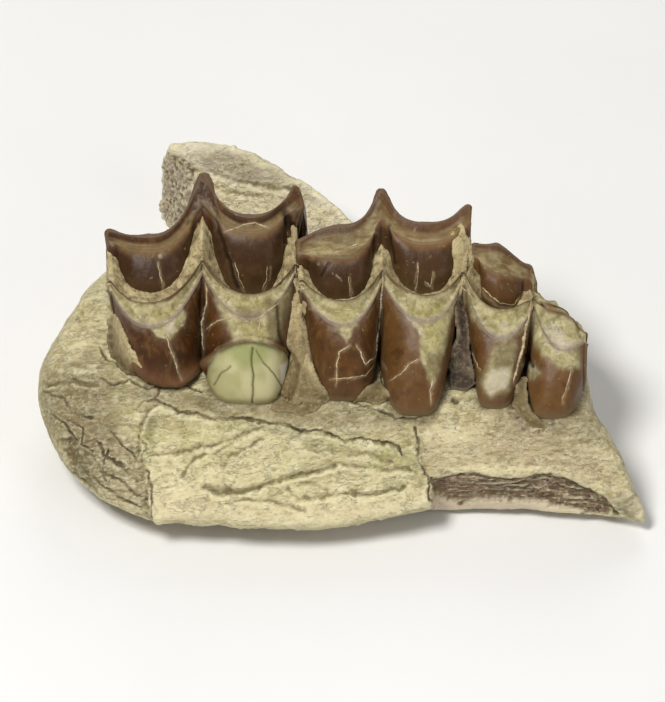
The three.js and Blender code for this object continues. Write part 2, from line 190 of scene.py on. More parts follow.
def depth_in_patch(pixels, outline):
    """Distance to a closed outline, in pixels: above 0 inside it and below 0 outside."""
    outline = np.asarray(outline, float)
    closed = np.vstack([outline, outline[:1]])
    inside = np.zeros(len(pixels), bool)
    for (x0, y0), (x1, y1) in zip(closed[:-1], closed[1:]):
        spans = (y0 > pixels[:, 1]) != (y1 > pixels[:, 1])
        crossing = x0 + (pixels[:, 1] - y0) * (x1 - x0) / (y1 - y0 + 1e-12)
        inside ^= spans & (pixels[:, 0] < crossing)
    return np.where(inside, 1, -1) * distance_to_line(pixels, closed)


# Meshes.

def fill_mesh(mesh, points, faces, masks):
    """Carving points, faces and masks as attributes into a mesh, shaded smooth."""
    mesh.from_pydata(to_row(points).tolist(), [], faces)
    for key, values in masks.items():
        mesh.attributes.new(key, "FLOAT", "POINT").data.foreach_set("value", values)
    mesh.shade_smooth()


def piece_from(name, points, faces, masks):
    mesh = bpy.data.meshes.new(name)
    fill_mesh(mesh, points, faces, masks)
    piece = bpy.data.objects.new(name, mesh)
    bpy.context.scene.collection.objects.link(piece)
    return piece


def redraw(piece, points, faces, masks, finish):
    """Gives a piece other points, faces and masks in place of its mesh, and its finish."""
    old = piece.data
    piece.data = bpy.data.meshes.new(piece.name)
    fill_mesh(piece.data, points, faces, masks)
    bpy.data.meshes.remove(old)
    piece.data.materials.append(finish)


def settle(piece):
    """The piece with its modifiers made into plain mesh."""
    graph = bpy.context.evaluated_depsgraph_get()
    made = bpy.data.meshes.new_from_object(piece.evaluated_get(graph))
    piece.modifiers.clear()
    piece.data = made
    return piece


def finish_piece(piece, slot, *nodes):
    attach(piece, "root")
    if nodes:
        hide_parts(*nodes)


# Finishes. Shared effects are node groups; each finish sets its own values on them.

def new_group(name, inputs, outputs):
    """An empty shader group, its given sockets and the ones it puts out. An input is named
    with its default number, or else with its kind."""
    group = bpy.data.node_groups.new(name, "ShaderNodeTree")
    for key, value in inputs.items():
        kind = value if isinstance(value, str) else "Float"
        socket = group.interface.new_socket(key, in_out="INPUT", socket_type="NodeSocket" + kind)
        if kind == "Float":
            socket.default_value = value
    for key, kind in outputs.items():
        group.interface.new_socket(key, in_out="OUTPUT", socket_type="NodeSocket" + kind)
    given = group.nodes.new("NodeGroupInput").outputs
    return group, given, group.nodes.new("NodeGroupOutput").inputs


def put(tree, kind, values=(), **settings):
    """A node with its settings, and its inputs set or wired by name or number."""
    made = tree.nodes.new(kind)
    for key, value in settings.items():
        setattr(made, key, value)
    for key, value in dict(values).items():
        if isinstance(value, bpy.types.NodeSocket):
            tree.links.new(value, made.inputs[key])
        else:
            made.inputs[key].default_value = value
    return made


def math_of(tree, operation, a, b=0.0):
    return put(tree, "ShaderNodeMath", {0: a, 1: b}, operation=operation).outputs[0]


def rest_of(tree, value):
    return math_of(tree, "SUBTRACT", 1.0, value)


def vector_of(tree, operation, values):
    return put(tree, "ShaderNodeVectorMath", values, operation=operation).outputs[0]


def ranged(tree, value, low, high, start=0.0, end=1.0, **settings):
    """A value from low to high moved to start to end, and held there."""
    values = {"Value": value, "From Min": low, "From Max": high, "To Min": start, "To Max": end}
    return put(tree, "ShaderNodeMapRange", values, **settings).outputs["Result"]


def blend_of(tree, share, a, b):
    return put(tree, "ShaderNodeMix", {0: share, 6: a, 7: b}, data_type="RGBA").outputs[2]


def mask_of(tree, key):
    return put(tree, "ShaderNodeAttribute", attribute_name=key).outputs["Fac"]


def per_metre(tree, size_mm):
    """Texture scale for a size in millimetres."""
    return math_of(tree, "DIVIDE", 1000.0, size_mm)


def colour(code):
    """A linear colour from the six hexadecimal digits of a screen colour."""
    parts = [int(code[k:k + 2], 16) / 255 for k in (0, 2, 4)]
    return tuple(c / 12.92 if c < 0.04045 else ((c + 0.055) / 1.055) ** 2.4 for c in parts) + (1.0,)


def stain_group():
    """Cloudy patches between two levels: 0 outside them and 1 inside."""
    inputs = {"Place": "Vector", "Size mm": 3.0, "From": 0.45, "To": 0.6, "Warp": 0.5}
    tree, given, out = new_group("cloudy stain", inputs, {"Amount": "Float"})
    values = {"Vector": given["Place"], "Scale": per_metre(tree, given["Size mm"]), "Detail": 5.0,
              "Distortion": given["Warp"]}
    noise = put(tree, "ShaderNodeTexNoise", values)
    cloud = noise.outputs["Fac"]
    amount = ranged(tree, cloud, given["From"], given["To"], interpolation_type="SMOOTHSTEP")
    tree.links.new(amount, out["Amount"])
    return tree


def grain_group():
    """Height of a fine grain with pinholes, for a bump."""
    inputs = {"Place": "Vector", "Grain mm": 0.3, "Pinholes": 0.3}
    tree, given, out = new_group("mineral grain", inputs, {"Height": "Float"})
    values = {"Vector": given["Place"], "Scale": per_metre(tree, given["Grain mm"])}
    noise = put(tree, "ShaderNodeTexNoise", values | {"Detail": 6.0})
    cells = put(tree, "ShaderNodeTexVoronoi", values)
    hole = ranged(tree, cells.outputs["Distance"], 0.0, 0.3, 1.0, 0.0)
    deep = math_of(tree, "MULTIPLY", hole, given["Pinholes"])
    tree.links.new(math_of(tree, "SUBTRACT", noise.outputs["Fac"], deep), out["Height"])
    return tree


def flaky_group():
    """Thin flakes in steps with torn rims, and a sparse net of hairline cracks."""
    inputs = {"Place": "Vector", "Flake mm": 2.0, "Steps": 5.0, "Net mm": 2.2, "Line mm": 0.05}
    outputs = {"Height": "Float", "Rims": "Float", "Cracks": "Float"}
    tree, given, out = new_group("flaky layers", inputs, outputs)
    place = given["Place"]
    wander = put(tree, "ShaderNodeTexNoise", {"Vector": place, "Scale": 900.0, "Detail": 4.0})
    centred = vector_of(tree, "SUBTRACT", {0: wander.outputs["Color"], 1: (0.5, 0.5, 0.5)})
    shift = vector_of(tree, "SCALE", {0: centred, 3: 0.0014})
    bent = vector_of(tree, "ADD", {0: place, 1: shift})
    values = {"Vector": bent, "Scale": per_metre(tree, given["Flake mm"]), "Detail": 8.0,
              "Roughness": 0.68}
    field = put(tree, "ShaderNodeTexNoise", values).outputs["Fac"]
    stepped = math_of(tree, "MULTIPLY", field, given["Steps"])
    part = math_of(tree, "FRACT", stepped)
    rise = ranged(tree, part, 0.0, 0.22, interpolation_type="SMOOTHSTEP")
    level = math_of(tree, "ADD", math_of(tree, "FLOOR", stepped), rise)
    rims = math_of(tree, "MULTIPLY", rise, rest_of(tree, math_of(tree, "MULTIPLY", part, 2.0)))
    values = {"Vector": bent, "Scale": per_metre(tree, given["Net mm"])}
    net = put(tree, "ShaderNodeTexVoronoi", values, feature="DISTANCE_TO_EDGE")
    width = math_of(tree, "DIVIDE", given["Line mm"], given["Net mm"])
    line = ranged(tree, net.outputs["Distance"], 0.0, width, 1.0, 0.0)
    patchy = put(tree, "ShaderNodeTexNoise", {"Vector": place, "Scale": 330.0, "Detail": 2.0})
    cracks = math_of(tree, "MULTIPLY", line, ranged(tree, patchy.outputs["Fac"], 0.56, 0.66))
    height = math_of(tree, "SUBTRACT", level, math_of(tree, "MULTIPLY", cracks, 0.8))
    tree.links.new(height, out["Height"])
    tree.links.new(math_of(tree, "MAXIMUM", rims, 0.0), out["Rims"])
    tree.links.new(cracks, out["Cracks"])
    return tree


def shade_and_wear_group():
    """Darkens hollows with dirt and painted shade, and lightens the rims that stand up with rubbed wear and
    painted highlight, by a mask of the shape.
    """
    inputs = {"Color": "Color", "Hollow": 0.0, "Dirt and shade": "Color", "Rub and highlight": "Color", "Dirt and shade amount": 0.7,
              "Rub and highlight amount": 0.4}
    tree, given, out = new_group("dirty shaded hollows and rubbed lit rims", inputs, {"Color": "Color"})
    # Dirt and painted shade in the hollows; rubbed wear and painted highlight on the raised rims.
    sunk = ranged(tree, given["Hollow"], 0.02, 0.8, 0.0, given["Dirt and shade amount"])
    raised = ranged(tree, given["Hollow"], -0.05, -0.8, 0.0, given["Rub and highlight amount"])
    dirty_and_shaded = blend_of(tree, sunk, given["Color"], given["Dirt and shade"])
    tree.links.new(blend_of(tree, raised, dirty_and_shaded, given["Rub and highlight"]), out["Color"])
    return tree


STAIN = stain_group()
GRAIN = grain_group()
FLAKES = flaky_group()
SHADE_AND_WEAR = shade_and_wear_group()


def start_finish(name):
    """A material with its tree, its shader, and the place on the piece."""
    finish = bpy.data.materials.new(name)
    finish.use_nodes = True
    tree = finish.node_tree
    tree.nodes.clear()
    shader = tree.nodes.new("ShaderNodeBsdfPrincipled")
    output = tree.nodes.new("ShaderNodeOutputMaterial")
    tree.links.new(shader.outputs["BSDF"], output.inputs["Surface"])
    place = tree.nodes.new("ShaderNodeTexCoord").outputs["Object"]
    return finish, tree, shader, place


def stretched(tree, place, scale):
    """The place on the piece, for a pattern drawn out where the scale is under 1."""
    return put(tree, "ShaderNodeMapping", {"Vector": place, "Scale": scale}).outputs[0]


def group_of(tree, group, values):
    """What a group puts out in a material, with its inputs set."""
    return put(tree, "ShaderNodeGroup", values, node_tree=group).outputs


def stain_of(tree, place, size, low, high, warp=0.5):
    values = {"Place": place, "Size mm": size, "From": low, "To": high, "Warp": warp}
    return group_of(tree, STAIN, values)[0]


def flakes_of(tree, place, flake, steps, net, line):
    values = {"Place": place, "Flake mm": flake, "Steps": steps, "Net mm": net, "Line mm": line}
    return group_of(tree, FLAKES, values)


def grain_of(tree, place, size, pinholes):
    return group_of(tree, GRAIN, {"Place": place, "Grain mm": size, "Pinholes": pinholes})[0]


# Dirt and painted shade in hollows, rubbed wear and painted highlight on rims, by a mask of the shape.
def shaded_and_worn_of(tree, base, mask, dirt_and_shade, rub_and_highlight, dirt_and_shade_amount, rub_and_highlight_amount):
    values = {"Color": base, "Hollow": mask_of(tree, mask), "Dirt and shade": colour(dirt_and_shade), "Rub and highlight": colour(rub_and_highlight),
              "Dirt and shade amount": dirt_and_shade_amount, "Rub and highlight amount": rub_and_highlight_amount}
    return group_of(tree, SHADE_AND_WEAR, values)[0]


def tinted(tree, base, *layers):
    """A colour under thin layers, each a tone, the share of it, and what limits it: masks by
    name, sockets, and stains as their place, size in millimetres, two levels and warp."""
    for tone, share, *limits in layers:
        for limit in limits:
            if isinstance(limit, tuple):
                limit = stain_of(tree, *limit)
            elif isinstance(limit, str):
                limit = mask_of(tree, limit)
            share = math_of(tree, "MULTIPLY", limit, share)
        base = blend_of(tree, share, base, colour(tone) if isinstance(tone, str) else tone)
    return base


def add_bump(tree, shader, height, distance_mm):
    bump = put(tree, "ShaderNodeBump", {"Height": height, "Distance": distance_mm / 1000})
    tree.links.new(bump.outputs["Normal"], shader.inputs["Normal"])


def bone_finish():
    """Chalky yellow-grey bone with green and brown stains, dark cracks and broken fibres, and painted shade
    and light over its patches and where it meets the teeth.
    """
    finish, tree, shader, place = start_finish("weathered bone")
    along = stretched(tree, place, (0.55, 1, 1))
    fibrous = stretched(tree, place, (0.12, 1, 1))
    flakes = flakes_of(tree, along, 3.2, 7.0, 3.0, 0.05)
    calm = rest_of(tree, mask_of(tree, "lip"))
    # Cream flecks are fewer where shade is painted.
    unshaded = rest_of(tree, math_of(tree, "MULTIPLY", mask_of(tree, "dark"), 0.6))
    broken = tinted(
        tree, colour("452d20"),
        ("80664f", 1.0, (fibrous, 0.35, 0.42, 0.6)),
        ("72523f", 0.7, "red"),
    )
    base = tinted(
        tree, colour("a39769"),
        ("bdb084", 1.0, (place, 6, 0.36, 0.62)),
        ("a09a5c", 0.8, "green", (place, 5, 0.38, 0.58)),
        ("bda985", 0.75, "pale"),
        ("bcafa0", 0.9, "chalky"),
        ("d0c59b", 0.5, (along, 1.6, 0.47, 0.66, 1.2)),
        ("8a7847", 0.55, (along, 2.4, 0.52, 0.66, 1.6)),
        ("95845a", 0.3, (along, 0.9, 0.5, 0.62)),
        ("e4dab4", 0.3, (along, 1.2, 0.53, 0.63, 1.0)),
        # Brown of the tuberosity, with painted shade where it faces down and away.
        ("857752", 0.8, "tuberosity_brown_and_shade"),
        ("76654a", 0.6, "layered"),
        # Painted shade on the darker patches and painted light on the lighter ones.
        ("6b5b3a", 0.62, "dark"),
        ("dacd9f", 0.5, "light"),
        ("75614f", 0.9, "spongy"),
        (broken, 1.0, "broken"),
        ("cfbba6", 0.85, "lip"),
        ("e2dab4", 0.4, flakes["Rims"], calm),
        ("ddd3aa", 0.45, (along, 0.32, 0.54, 0.64), calm, unshaded),
        ("6a5932", 0.34, (along, 0.24, 0.56, 0.66), calm),
        ("4c3d22", 0.2, flakes["Cracks"]),
        ("6f6a38", 0.22, "fold"),
        # Grime, with painted shade under the molars.
        ("5f552f", 0.5, "grime_and_shade"),
        # Dark cracks, and painted shade along the lines under the molars.
        ("2c2216", 0.9, "crack"),
        # Painted shade where the bone meets the teeth.
        ("3b2e1b", 0.7, "contact_shade"),
    )
    # Dirt and painted shade in small hollows and broad valleys, rubbed wear and painted highlight on the
    # rims.
    base = shaded_and_worn_of(tree, base, "hollow", "5a4a2b", "ded6ae", 0.6, 0.45)
    base = shaded_and_worn_of(tree, base, "valley", "6a5a35", "d9d0a6", 0.5, 0.25)
    tree.links.new(base, shader.inputs["Base Color"])
    rough = ranged(tree, stain_of(tree, place, 4, 0.4, 0.7), 0.0, 1.0, 0.5, 0.75)
    tree.links.new(rough, shader.inputs["Roughness"])
    shader.inputs["Specular IOR Level"].default_value = 0.35
    steps = math_of(tree, "MULTIPLY", flakes["Height"], 0.28)
    height = math_of(tree, "ADD", steps, grain_of(tree, along, 0.4, 0.25))
    add_bump(tree, shader, math_of(tree, "MULTIPLY", height, calm), 0.24)
    return finish


def enamel_finish():
    """Glossy brown enamel, with cream dentine where it is worn, chipped or cracked."""
    finish, tree, shader, place = start_finish("brown enamel")
    upright = stretched(tree, place, (1, 1, 0.18))
    level = stretched(tree, place, (0.2, 1, 1))
    moss = tinted(tree, colour("aba065"), ("8c8149", 1.0, (place, 0.7, 0.4, 0.6)))
    dentine = tinted(
        tree, colour("b2a67c"),
        ("8d8257", 1.0, (place, 1.1, 0.36, 0.64)),
        ("c9be98", 0.6, (place, 0.8, 0.55, 0.68)),
        (moss, 0.55, "moss"),
        ("94867b", 0.6, "lilac"),
        ("66573a", 0.6, "dull"),
        ("6a5029", 0.7, "cheek", (level, 0.9, 0.48, 0.6)),
        ("c6b67c", 0.7, "cheek", (level, 0.6, 0.56, 0.66)),
        # Chalky white, and painted highlights.
        ("c3b79f", 0.7, "chalk_and_highlight"),
    )
    dome = tinted(
        tree, colour("b3ab80"),
        ("a09b6c", 1.0, (place, 3.0, 0.4, 0.65)),
        ("84894f", 0.8, "dome_top"),
        # Painted shade round the dome's edge.
        ("6a653d", 0.55, "dome_rim_shade"),
        ("d6cfbe", 0.8, "chalk_and_highlight"),
    )
    base = tinted(
        tree, colour("38200d"),
        ("503114", 1.0, (place, 3.2, 0.3, 0.7)),
        ("6b4a24", 0.75, "amber"),
        ("72522c", 0.4, (upright, 0.8, 0.5, 0.68)),
        ("684c31", 0.35, "low"),
        ("2b190b", 0.5, (place, 2.4, 0.54, 0.7)),
        ("341f0e", 0.75, "deep"),
        ("7a613a", 0.7, "gold"),
        ("85725f", 0.6, "fade", (place, 1.2, 0.3, 0.6)),
        ("9c8a5e", 0.4, (place, 0.5, 0.67, 0.71)),
        (dentine, 1.0, "worn"),
        (dome, 1.0, "dome"),
        ("7a6a60", 0.65, "edge"),
        ("55463d", 0.6, "rim"),
        ("34220f", 0.8, "line"),
        ("8d7b54", 0.45, "dust"),
        ("7a4f36", 0.4, "collar"),
        ("b5a17c", 0.5, "crack"),
        # Painted shade in the furrows.
        ("241709", 0.8, "furrow_shade"),
        ("565b30", 0.6, "dome_line"),
    )
    # Dirt and painted shade in hollows, rubbed wear and painted highlight on rims.
    base = shaded_and_worn_of(tree, base, "hollow", "1c1108", "9c8763", 0.5, 0.16)
    tree.links.new(base, shader.inputs["Base Color"])
    rough = ranged(tree, mask_of(tree, "worn"), 0.0, 1.0, 0.43, 0.58)
    tree.links.new(rough, shader.inputs["Roughness"])
    shader.inputs["Specular IOR Level"].default_value = 0.18
    flakes = flakes_of(tree, place, 0.9, 6.0, 2.0, 0.03)
    rough_worn = math_of(tree, "MULTIPLY", flakes["Height"], mask_of(tree, "worn"))
    flaky = math_of(tree, "MULTIPLY", rough_worn, 0.8)
    add_bump(tree, shader, math_of(tree, "ADD", grain_of(tree, place, 0.3, 0.12), flaky), 0.025)
    return finish


def rock_finish(name, light, dark, low):
    """Fine rock between two tones, darker lower down, with a sandy grain."""
    finish, tree, shader, place = start_finish(name)
    flakes = flakes_of(tree, place, 2.0, 5.0, 1.8, 0.04)
    base = tinted(
        tree, colour(dark),
        (light, 1.0, (place, 1.4, 0.38, 0.62)),
        (low, 0.85, "low"),
        ("cfc29a", 0.15, flakes["Rims"]),
        ("cbbd94", 0.2, (place, 0.4, 0.54, 0.68)),
        ("5f4e2f", 0.4, (place, 0.3, 0.57, 0.66)),
        ("40331f", 0.6, flakes["Cracks"]),
    )
    # Dirt and painted shade in hollows, rubbed wear and painted highlight on rims.
    base = shaded_and_worn_of(tree, base, "hollow", "3f3220", "d3c8a0", 0.5, 0.12)
    tree.links.new(base, shader.inputs["Base Color"])
    shader.inputs["Roughness"].default_value = 0.85
    shader.inputs["Specular IOR Level"].default_value = 0.3
    steps = math_of(tree, "MULTIPLY", flakes["Height"], 0.4)
    add_bump(tree, shader, math_of(tree, "ADD", steps, grain_of(tree, place, 0.3, 0.3)), 0.12)
    return finish


def vein_finish():
    """Cream mineral, a little uneven in tone."""
    finish, tree, shader, place = start_finish("cream mineral")
    base = tinted(tree, colour("c6b491"), ("947f5b", 1.0, (place, 0.9, 0.35, 0.65)))
    tree.links.new(base, shader.inputs["Base Color"])
    shader.inputs["Roughness"].default_value = 0.7
    add_bump(tree, shader, grain_of(tree, place, 0.15, 0.2), 0.03)
    return finish


def floor_finish():
    finish, tree, shader, place = start_finish("pale floor")
    shade = tinted(tree, colour("dcdad5"), ("e0deda", 1.0, (place, 60, 0.3, 0.7)))
    tree.links.new(shade, shader.inputs["Base Color"])
    shader.inputs["Roughness"].default_value = 0.9
    return finish


BONE = bone_finish()
ENAMEL = enamel_finish()
ROCK = rock_finish("tan rock", "b3a276", "94815a", "5f4f2c")
DARK_ROCK = rock_finish("dark rock", "6f5c4c", "43352b", "3b2f26")
VEIN = vein_finish()


# Molars. Five stations each, in millimetres: the back end, the middle of the back lobe,
# the notch between the lobes, the middle of the front lobe and the front end. They are x
# of the neck, of the tongue side crest and of the cheek side crest, y of the neck, then
# [y, z] of the worn band's outer and inner edge, the pit behind it, the top of the cheek
# side cusp's inner face and its crest, and y of the neck on the cheek side.
GUM = 13.0
COLLAR = 0.8
ROOT_END = 11.0
PIT_HALF = 0.45
WALL_BULGE = 0.75
# By share of the way up the tongue side, how much of the bulge; by share of the way down the
# cheek side, how far it stands out in millimetres.
TONGUE_BULGES = ((0.3, 1), (0.68, 1), (0.84, 0.72))
CHEEK_BULGES = ((0.35, 0.45), (0.75, 0.3))
NECK_SINK = 0.6
ROOT_INSET = 1.0
COLLAR_STEP = 0.15
BAND_SAG = 0.2
FACE_AT = 0.55
FACE_BELLY = 0.35
FACET_AT = 0.55
FACET_SAG = 0.15
STATION_PARTS = ("x", "neck", "outer", "inner", "pit", "rise", "crest", "back")
MOLARS = {
    "molar_3": [
        ((-24.2, -25.0, -25.3), 10.5, (8.2, 21.6), (8.9, 22.4), (11.3, 19.4), (14.2, 22.9), (15.3, 23.5),
         18.5),
        ((-18.8, -20.8, -20.8), 2.1, (3.9, 20.6), (6.0, 22.1), (7.9, 18.5), (12.6, 23.3), (13.8, 24.2),
         20),
        ((-15.2, -15.1, -15.1), 5.8, (11.0, 21.6), (11.9, 22.5), (14.2, 20.4), (17.5, 25), (21.1, 26),
         22.2),
        ((-10.0, -9.8, -9.8), -0.6, (5.0, 20.9), (7.6, 21.7), (9.8, 17.8), (14.6, 24.1), (16, 25), 21.5),
        ((-5.3, -5.0, -5.1), 6.8, (10.9, 21.5), (11.6, 22.1), (13.8, 19.5), (17.8, 24.6), (20, 25.5),
         21.2),
    ],
    "molar_2": [
        ((-3.8, -4.1, -4.4), 7.5, (8.9, 21.1), (9.7, 21.7), (11, 19.2), (12.7, 22.6), (14, 23.3), 18.5),
        ((0.8, 0.4, 0.4), 0, (4.2, 20.5), (6.8, 21.6), (8.3, 18.6), (11.9, 22.9), (15.4, 24.2), 19.8),
        ((4.2, 4.6, 4.5), 6.0, (10.1, 21.3), (11, 22), (12.8, 20.2), (15.9, 24.7), (19.1, 25.6), 20.8),
        ((8.3, 9.3, 9.3), -2.0, (4.8, 20.4), (7.7, 21.5), (9.3, 18.6), (13.7, 23.2), (15.9, 24), 19.8),
        ((12.2, 13.3, 14.0), 7.0, (9.8, 21.1), (10.7, 21.8), (12.6, 19.5), (15.6, 24.3), (17.7, 25),
         19.5),
    ],
    "molar_1": [
        ((14.4, 13.7, 14.8), 7.0, (9.5, 21.2), (10.5, 22), (11.8, 19.2), (13, 21.8), (14.2, 22.5), 17),
        ((16.3, 17.4, 17.2), -1, (3.3, 19.3), (6.6, 20.5), (8, 17.6), (10.8, 21.4), (14.3, 22.3), 18),
        ((20.2, 21.2, 20.8), 4.3, (7.6, 20.1), (8.4, 20.7), (10, 18.3), (11.8, 19.4), (13.2, 19.4), 16.5),
        ((22.5, 24.2, 23.6), -2.4, (2.6, 18.3), (6.4, 19.8), (7.6, 18.4), (9, 17.8), (10, 17), 13.5),
        ((26.6, 26.7, 26.0), 1.5, (4.2, 17.6), (5.2, 18.2), (6.5, 17), (7.6, 16), (8.5, 15.5), 11),
    ],
}
# How steeply the edges of each molar sweep up from the middle of a lobe to its ends.
NECK_SWEEP = {"molar_3": (3.6, 4.6), "molar_2": (4.6, 4.0), "molar_1": (3.8, 3.8)}
CREST_SWEEP = {"molar_3": 2.2, "molar_2": 2.2, "molar_1": 1.3}
TONGUE_SWEEP = 2.2
BACK_SWEEP = 1.9
TIP_FROM = 0.8
# Places around a section, as the numbers of its points.
NECK, COLLAR_AT, OUTER, BAND, INNER = 1, 2, 6, 7, 8
PIT, RISE, CREST, SOLE = 9, 12, 14, 19
ROWS_BETWEEN = (2, 4, 18, 24, 10, 16, 16, 12, 20, 5, 24, 24, 12, 12, 16, 20, 14, 4)
COLUMNS = 240


def tipped(share, power):
    """A sweep from 0 to 1 that levels off into a rounded tip."""
    soft = share - np.maximum(share - TIP_FROM, 0) ** 2 / (2 * (1 - TIP_FROM))
    top = 1 - (1 - TIP_FROM) / 2
    return soft**power * (1 + (top**-power - 1) * share**6)


def station_at(name, t):
    """The station at shares t of the way along a molar, whose edges sweep in crescents."""
    stations = MOLARS[name]
    place = np.minimum(t * 2, 1.999999)
    lobe = np.floor(place).astype(int)
    u = (place - lobe) * 2 - 1
    across = np.abs(u)
    crest = tipped(across, CREST_SWEEP[name])
    sweeps = {
        "x": across,
        "neck": across ** np.array(NECK_SWEEP[name])[lobe],
        "back": across**BACK_SWEEP,
        "rise": crest,
        "crest": crest,
    }
    parts = {}
    for k, key in enumerate(STATION_PARTS):
        values = np.array([np.atleast_1d(s[k]) for s in stations], float)
        middle = values[lobe * 2 + 1]
        end = np.where((u < 0)[:, None], values[lobe * 2], values[lobe * 2 + 2])
        parts[key] = mix(middle, end, sweeps.get(key, across**TONGUE_SWEEP)[:, None])
    return parts, u, lobe


def section_points(s):
    """The nineteen points around each section, sections by points by three."""
    neck, back = s["neck"][:, 0], s["back"][:, 0]
    collar = neck - COLLAR_STEP
    x_neck, x_tongue, x_cheek = s["x"].T
    outer, inner, pit, rise, crest = (s[k] for k in ("outer", "inner", "pit", "rise", "crest"))

    def tongue(y, z):
        lean = (z - GUM) / (outer[:, 1] - GUM)
        return np.stack([mix(x_neck, x_tongue, lean), y, z + 0 * y], axis=1)

    def cheek(y, z):
        return np.stack([x_cheek, y, z + 0 * y], axis=1)

    def tongue_wall(share, part):
        y = mix(collar, outer[:, 0], share) - WALL_BULGE * part
        return tongue(y, mix(GUM + COLLAR, outer[:, 1], share))

    def cheek_wall(share, out):
        return cheek(mix(crest[:, 0], back, share) + out, mix(crest[:, 1], GUM, share))

    face_y = mix(pit[:, 0] + PIT_HALF, rise[:, 0], FACE_AT) - FACE_BELLY
    band_z = mix(outer[:, 1], inner[:, 1], 0.5) - BAND_SAG
    facet_z = mix(rise[:, 1], crest[:, 1], 0.5) - FACET_SAG
    around_section = [
        np.stack([x_neck, neck + ROOT_INSET, 0 * neck + ROOT_END], axis=1),
        np.stack([x_neck, neck, 0 * neck + GUM - NECK_SINK], axis=1),
        np.stack([x_neck, collar, 0 * neck + GUM + COLLAR], axis=1),
        *[tongue_wall(share, part) for share, part in TONGUE_BULGES],
        tongue(*outer.T),
        tongue(mix(outer[:, 0], inner[:, 0], 0.5), band_z),
        tongue(*inner.T),
        tongue(pit[:, 0] - PIT_HALF, pit[:, 1]),
        cheek(pit[:, 0] + PIT_HALF, pit[:, 1]),
        cheek(face_y, mix(pit[:, 1], rise[:, 1], FACE_AT)),
        cheek(*rise.T),
        cheek(mix(rise[:, 0], crest[:, 0], FACET_AT), facet_z),
        cheek(*crest.T),
        *[cheek_wall(share, out) for share, out in CHEEK_BULGES],
        cheek(back, 0 * back + GUM - NECK_SINK),
        cheek(back - ROOT_INSET, 0 * back + ROOT_END),
    ]
    return np.stack(around_section, axis=1)


def around(points, counts):
    """Finer points around each section on curves that never overshoot the given ones."""
    length = np.linalg.norm(np.diff(points, axis=1), axis=2, keepdims=True)
    rise = np.diff(points, axis=1) / np.maximum(length, 1e-6)
    before, after = rise[:, :-1], rise[:, 1:]
    product = before * after
    slope = np.where(product > 0, 2 * product / np.where(product > 0, before + after, 1), 0)
    slope = np.concatenate([rise[:, :1], slope, rise[:, -1:]], axis=1)
    made, places = [], []
    for k, count in enumerate(counts):
        for step in range(count):
            t = step / count
            width = length[:, k]
            made.append(
                points[:, k] * (1 + 2 * t) * (1 - t) ** 2
                + points[:, k + 1] * (3 - 2 * t) * t**2
                + slope[:, k] * width * t * (1 - t) ** 2
                - slope[:, k + 1] * width * (1 - t) * t**2
            )
            places.append(k + t)
    made.append(points[:, -1])
    places.append(len(counts))
    return np.stack(made, axis=1), np.array(places, float)


CAP_ROUND = 0.38
CAP_STEPS = 5
CLOSING = (0.35, 0.7)
CAP_RINGS = CAP_STEPS + len(CLOSING)
SOLE_POINTS = 8


def tube_faces(rings, around_count):
    """Faces of a closed tube of rings, with a point at each end, numbered last."""
    at = np.arange(rings * around_count).reshape(rings, around_count)
    turned = np.roll(at, -1, axis=1)
    corners = [at[:-1], turned[:-1], turned[1:], at[1:]]
    faces = np.stack([c.ravel() for c in corners], axis=1).tolist()
    first, last = rings * around_count, rings * around_count + 1
    faces += [[first, b, a] for a, b in zip(at[0], turned[0])]
    faces += [[last, a, b] for a, b in zip(at[-1], turned[-1])]
    return faces


def capped(section, centre, way):
    """Rings that round off the end of a tube all the way along its rim, then close it."""
    along = np.roll(section, -1, axis=0) - np.roll(section, 1, axis=0)
    inward = np.stack([0 * along[:, 0], -along[:, 2], along[:, 1]], axis=1)
    inward /= np.maximum(np.linalg.norm(inward, axis=1, keepdims=True), 1e-9)
    if ((centre - section) * inward).sum() < 0:
        inward = -inward
    rings = []
    for k in range(1, CAP_STEPS + 1):
        turn = math.radians(90) * k / CAP_STEPS
        ring = section + inward * CAP_ROUND * (1 - math.cos(turn))
        ring[:, 0] += way * CAP_ROUND * math.sin(turn)
        rings.append(ring)
    return rings + [mix(rings[-1], centre, share) for share in CLOSING]


def molar_tube(name):
    """Points, faces and the place of each point on a molar: u across a lobe, and around."""
    t = np.linspace(0, 1, COLUMNS)
    parts, u, lobe = station_at(name, t)
    sheet, places = around(section_points(parts), ROWS_BETWEEN)
    share = np.linspace(0, 1, SOLE_POINTS + 2)[1:-1, None]
    sole = mix(sheet[:, -1:], sheet[:, :1], share)
    rings = np.concatenate([sheet, sole], axis=1)
    places = np.concatenate([places, np.linspace(places[-1], SOLE, SOLE_POINTS + 2)[1:-1]])
    ends = []
    for at, way in ((0, -1), (-1, 1)):
        pit = parts["pit"][at, 0]
        centre = np.array([rings[at, 0, 0] + way * CAP_ROUND, pit, GUM])
        ends.append((capped(rings[at], centre, way), centre))
    back, front = ends
    tube = np.concatenate([np.array(back[0][::-1]), rings, np.array(front[0])])
    columns = np.concatenate([np.full(CAP_RINGS, -1), u, np.full(CAP_RINGS, 1)])
    lobes = np.concatenate([np.full(CAP_RINGS, 0), lobe, np.full(CAP_RINGS, 1)])
    points = np.concatenate([tube.reshape(-1, 3), [back[1], front[1]]])
    rings_count, around_count = tube.shape[:2]
    u_all = np.append(np.repeat(columns, around_count), [-1, 1])
    lobe_all = np.append(np.repeat(lobes, around_count), [0, 1])
    place_all = np.append(np.tile(places, rings_count), [SOLE, SOLE])
    return points, tube_faces(rings_count, around_count), u_all, lobe_all, place_all


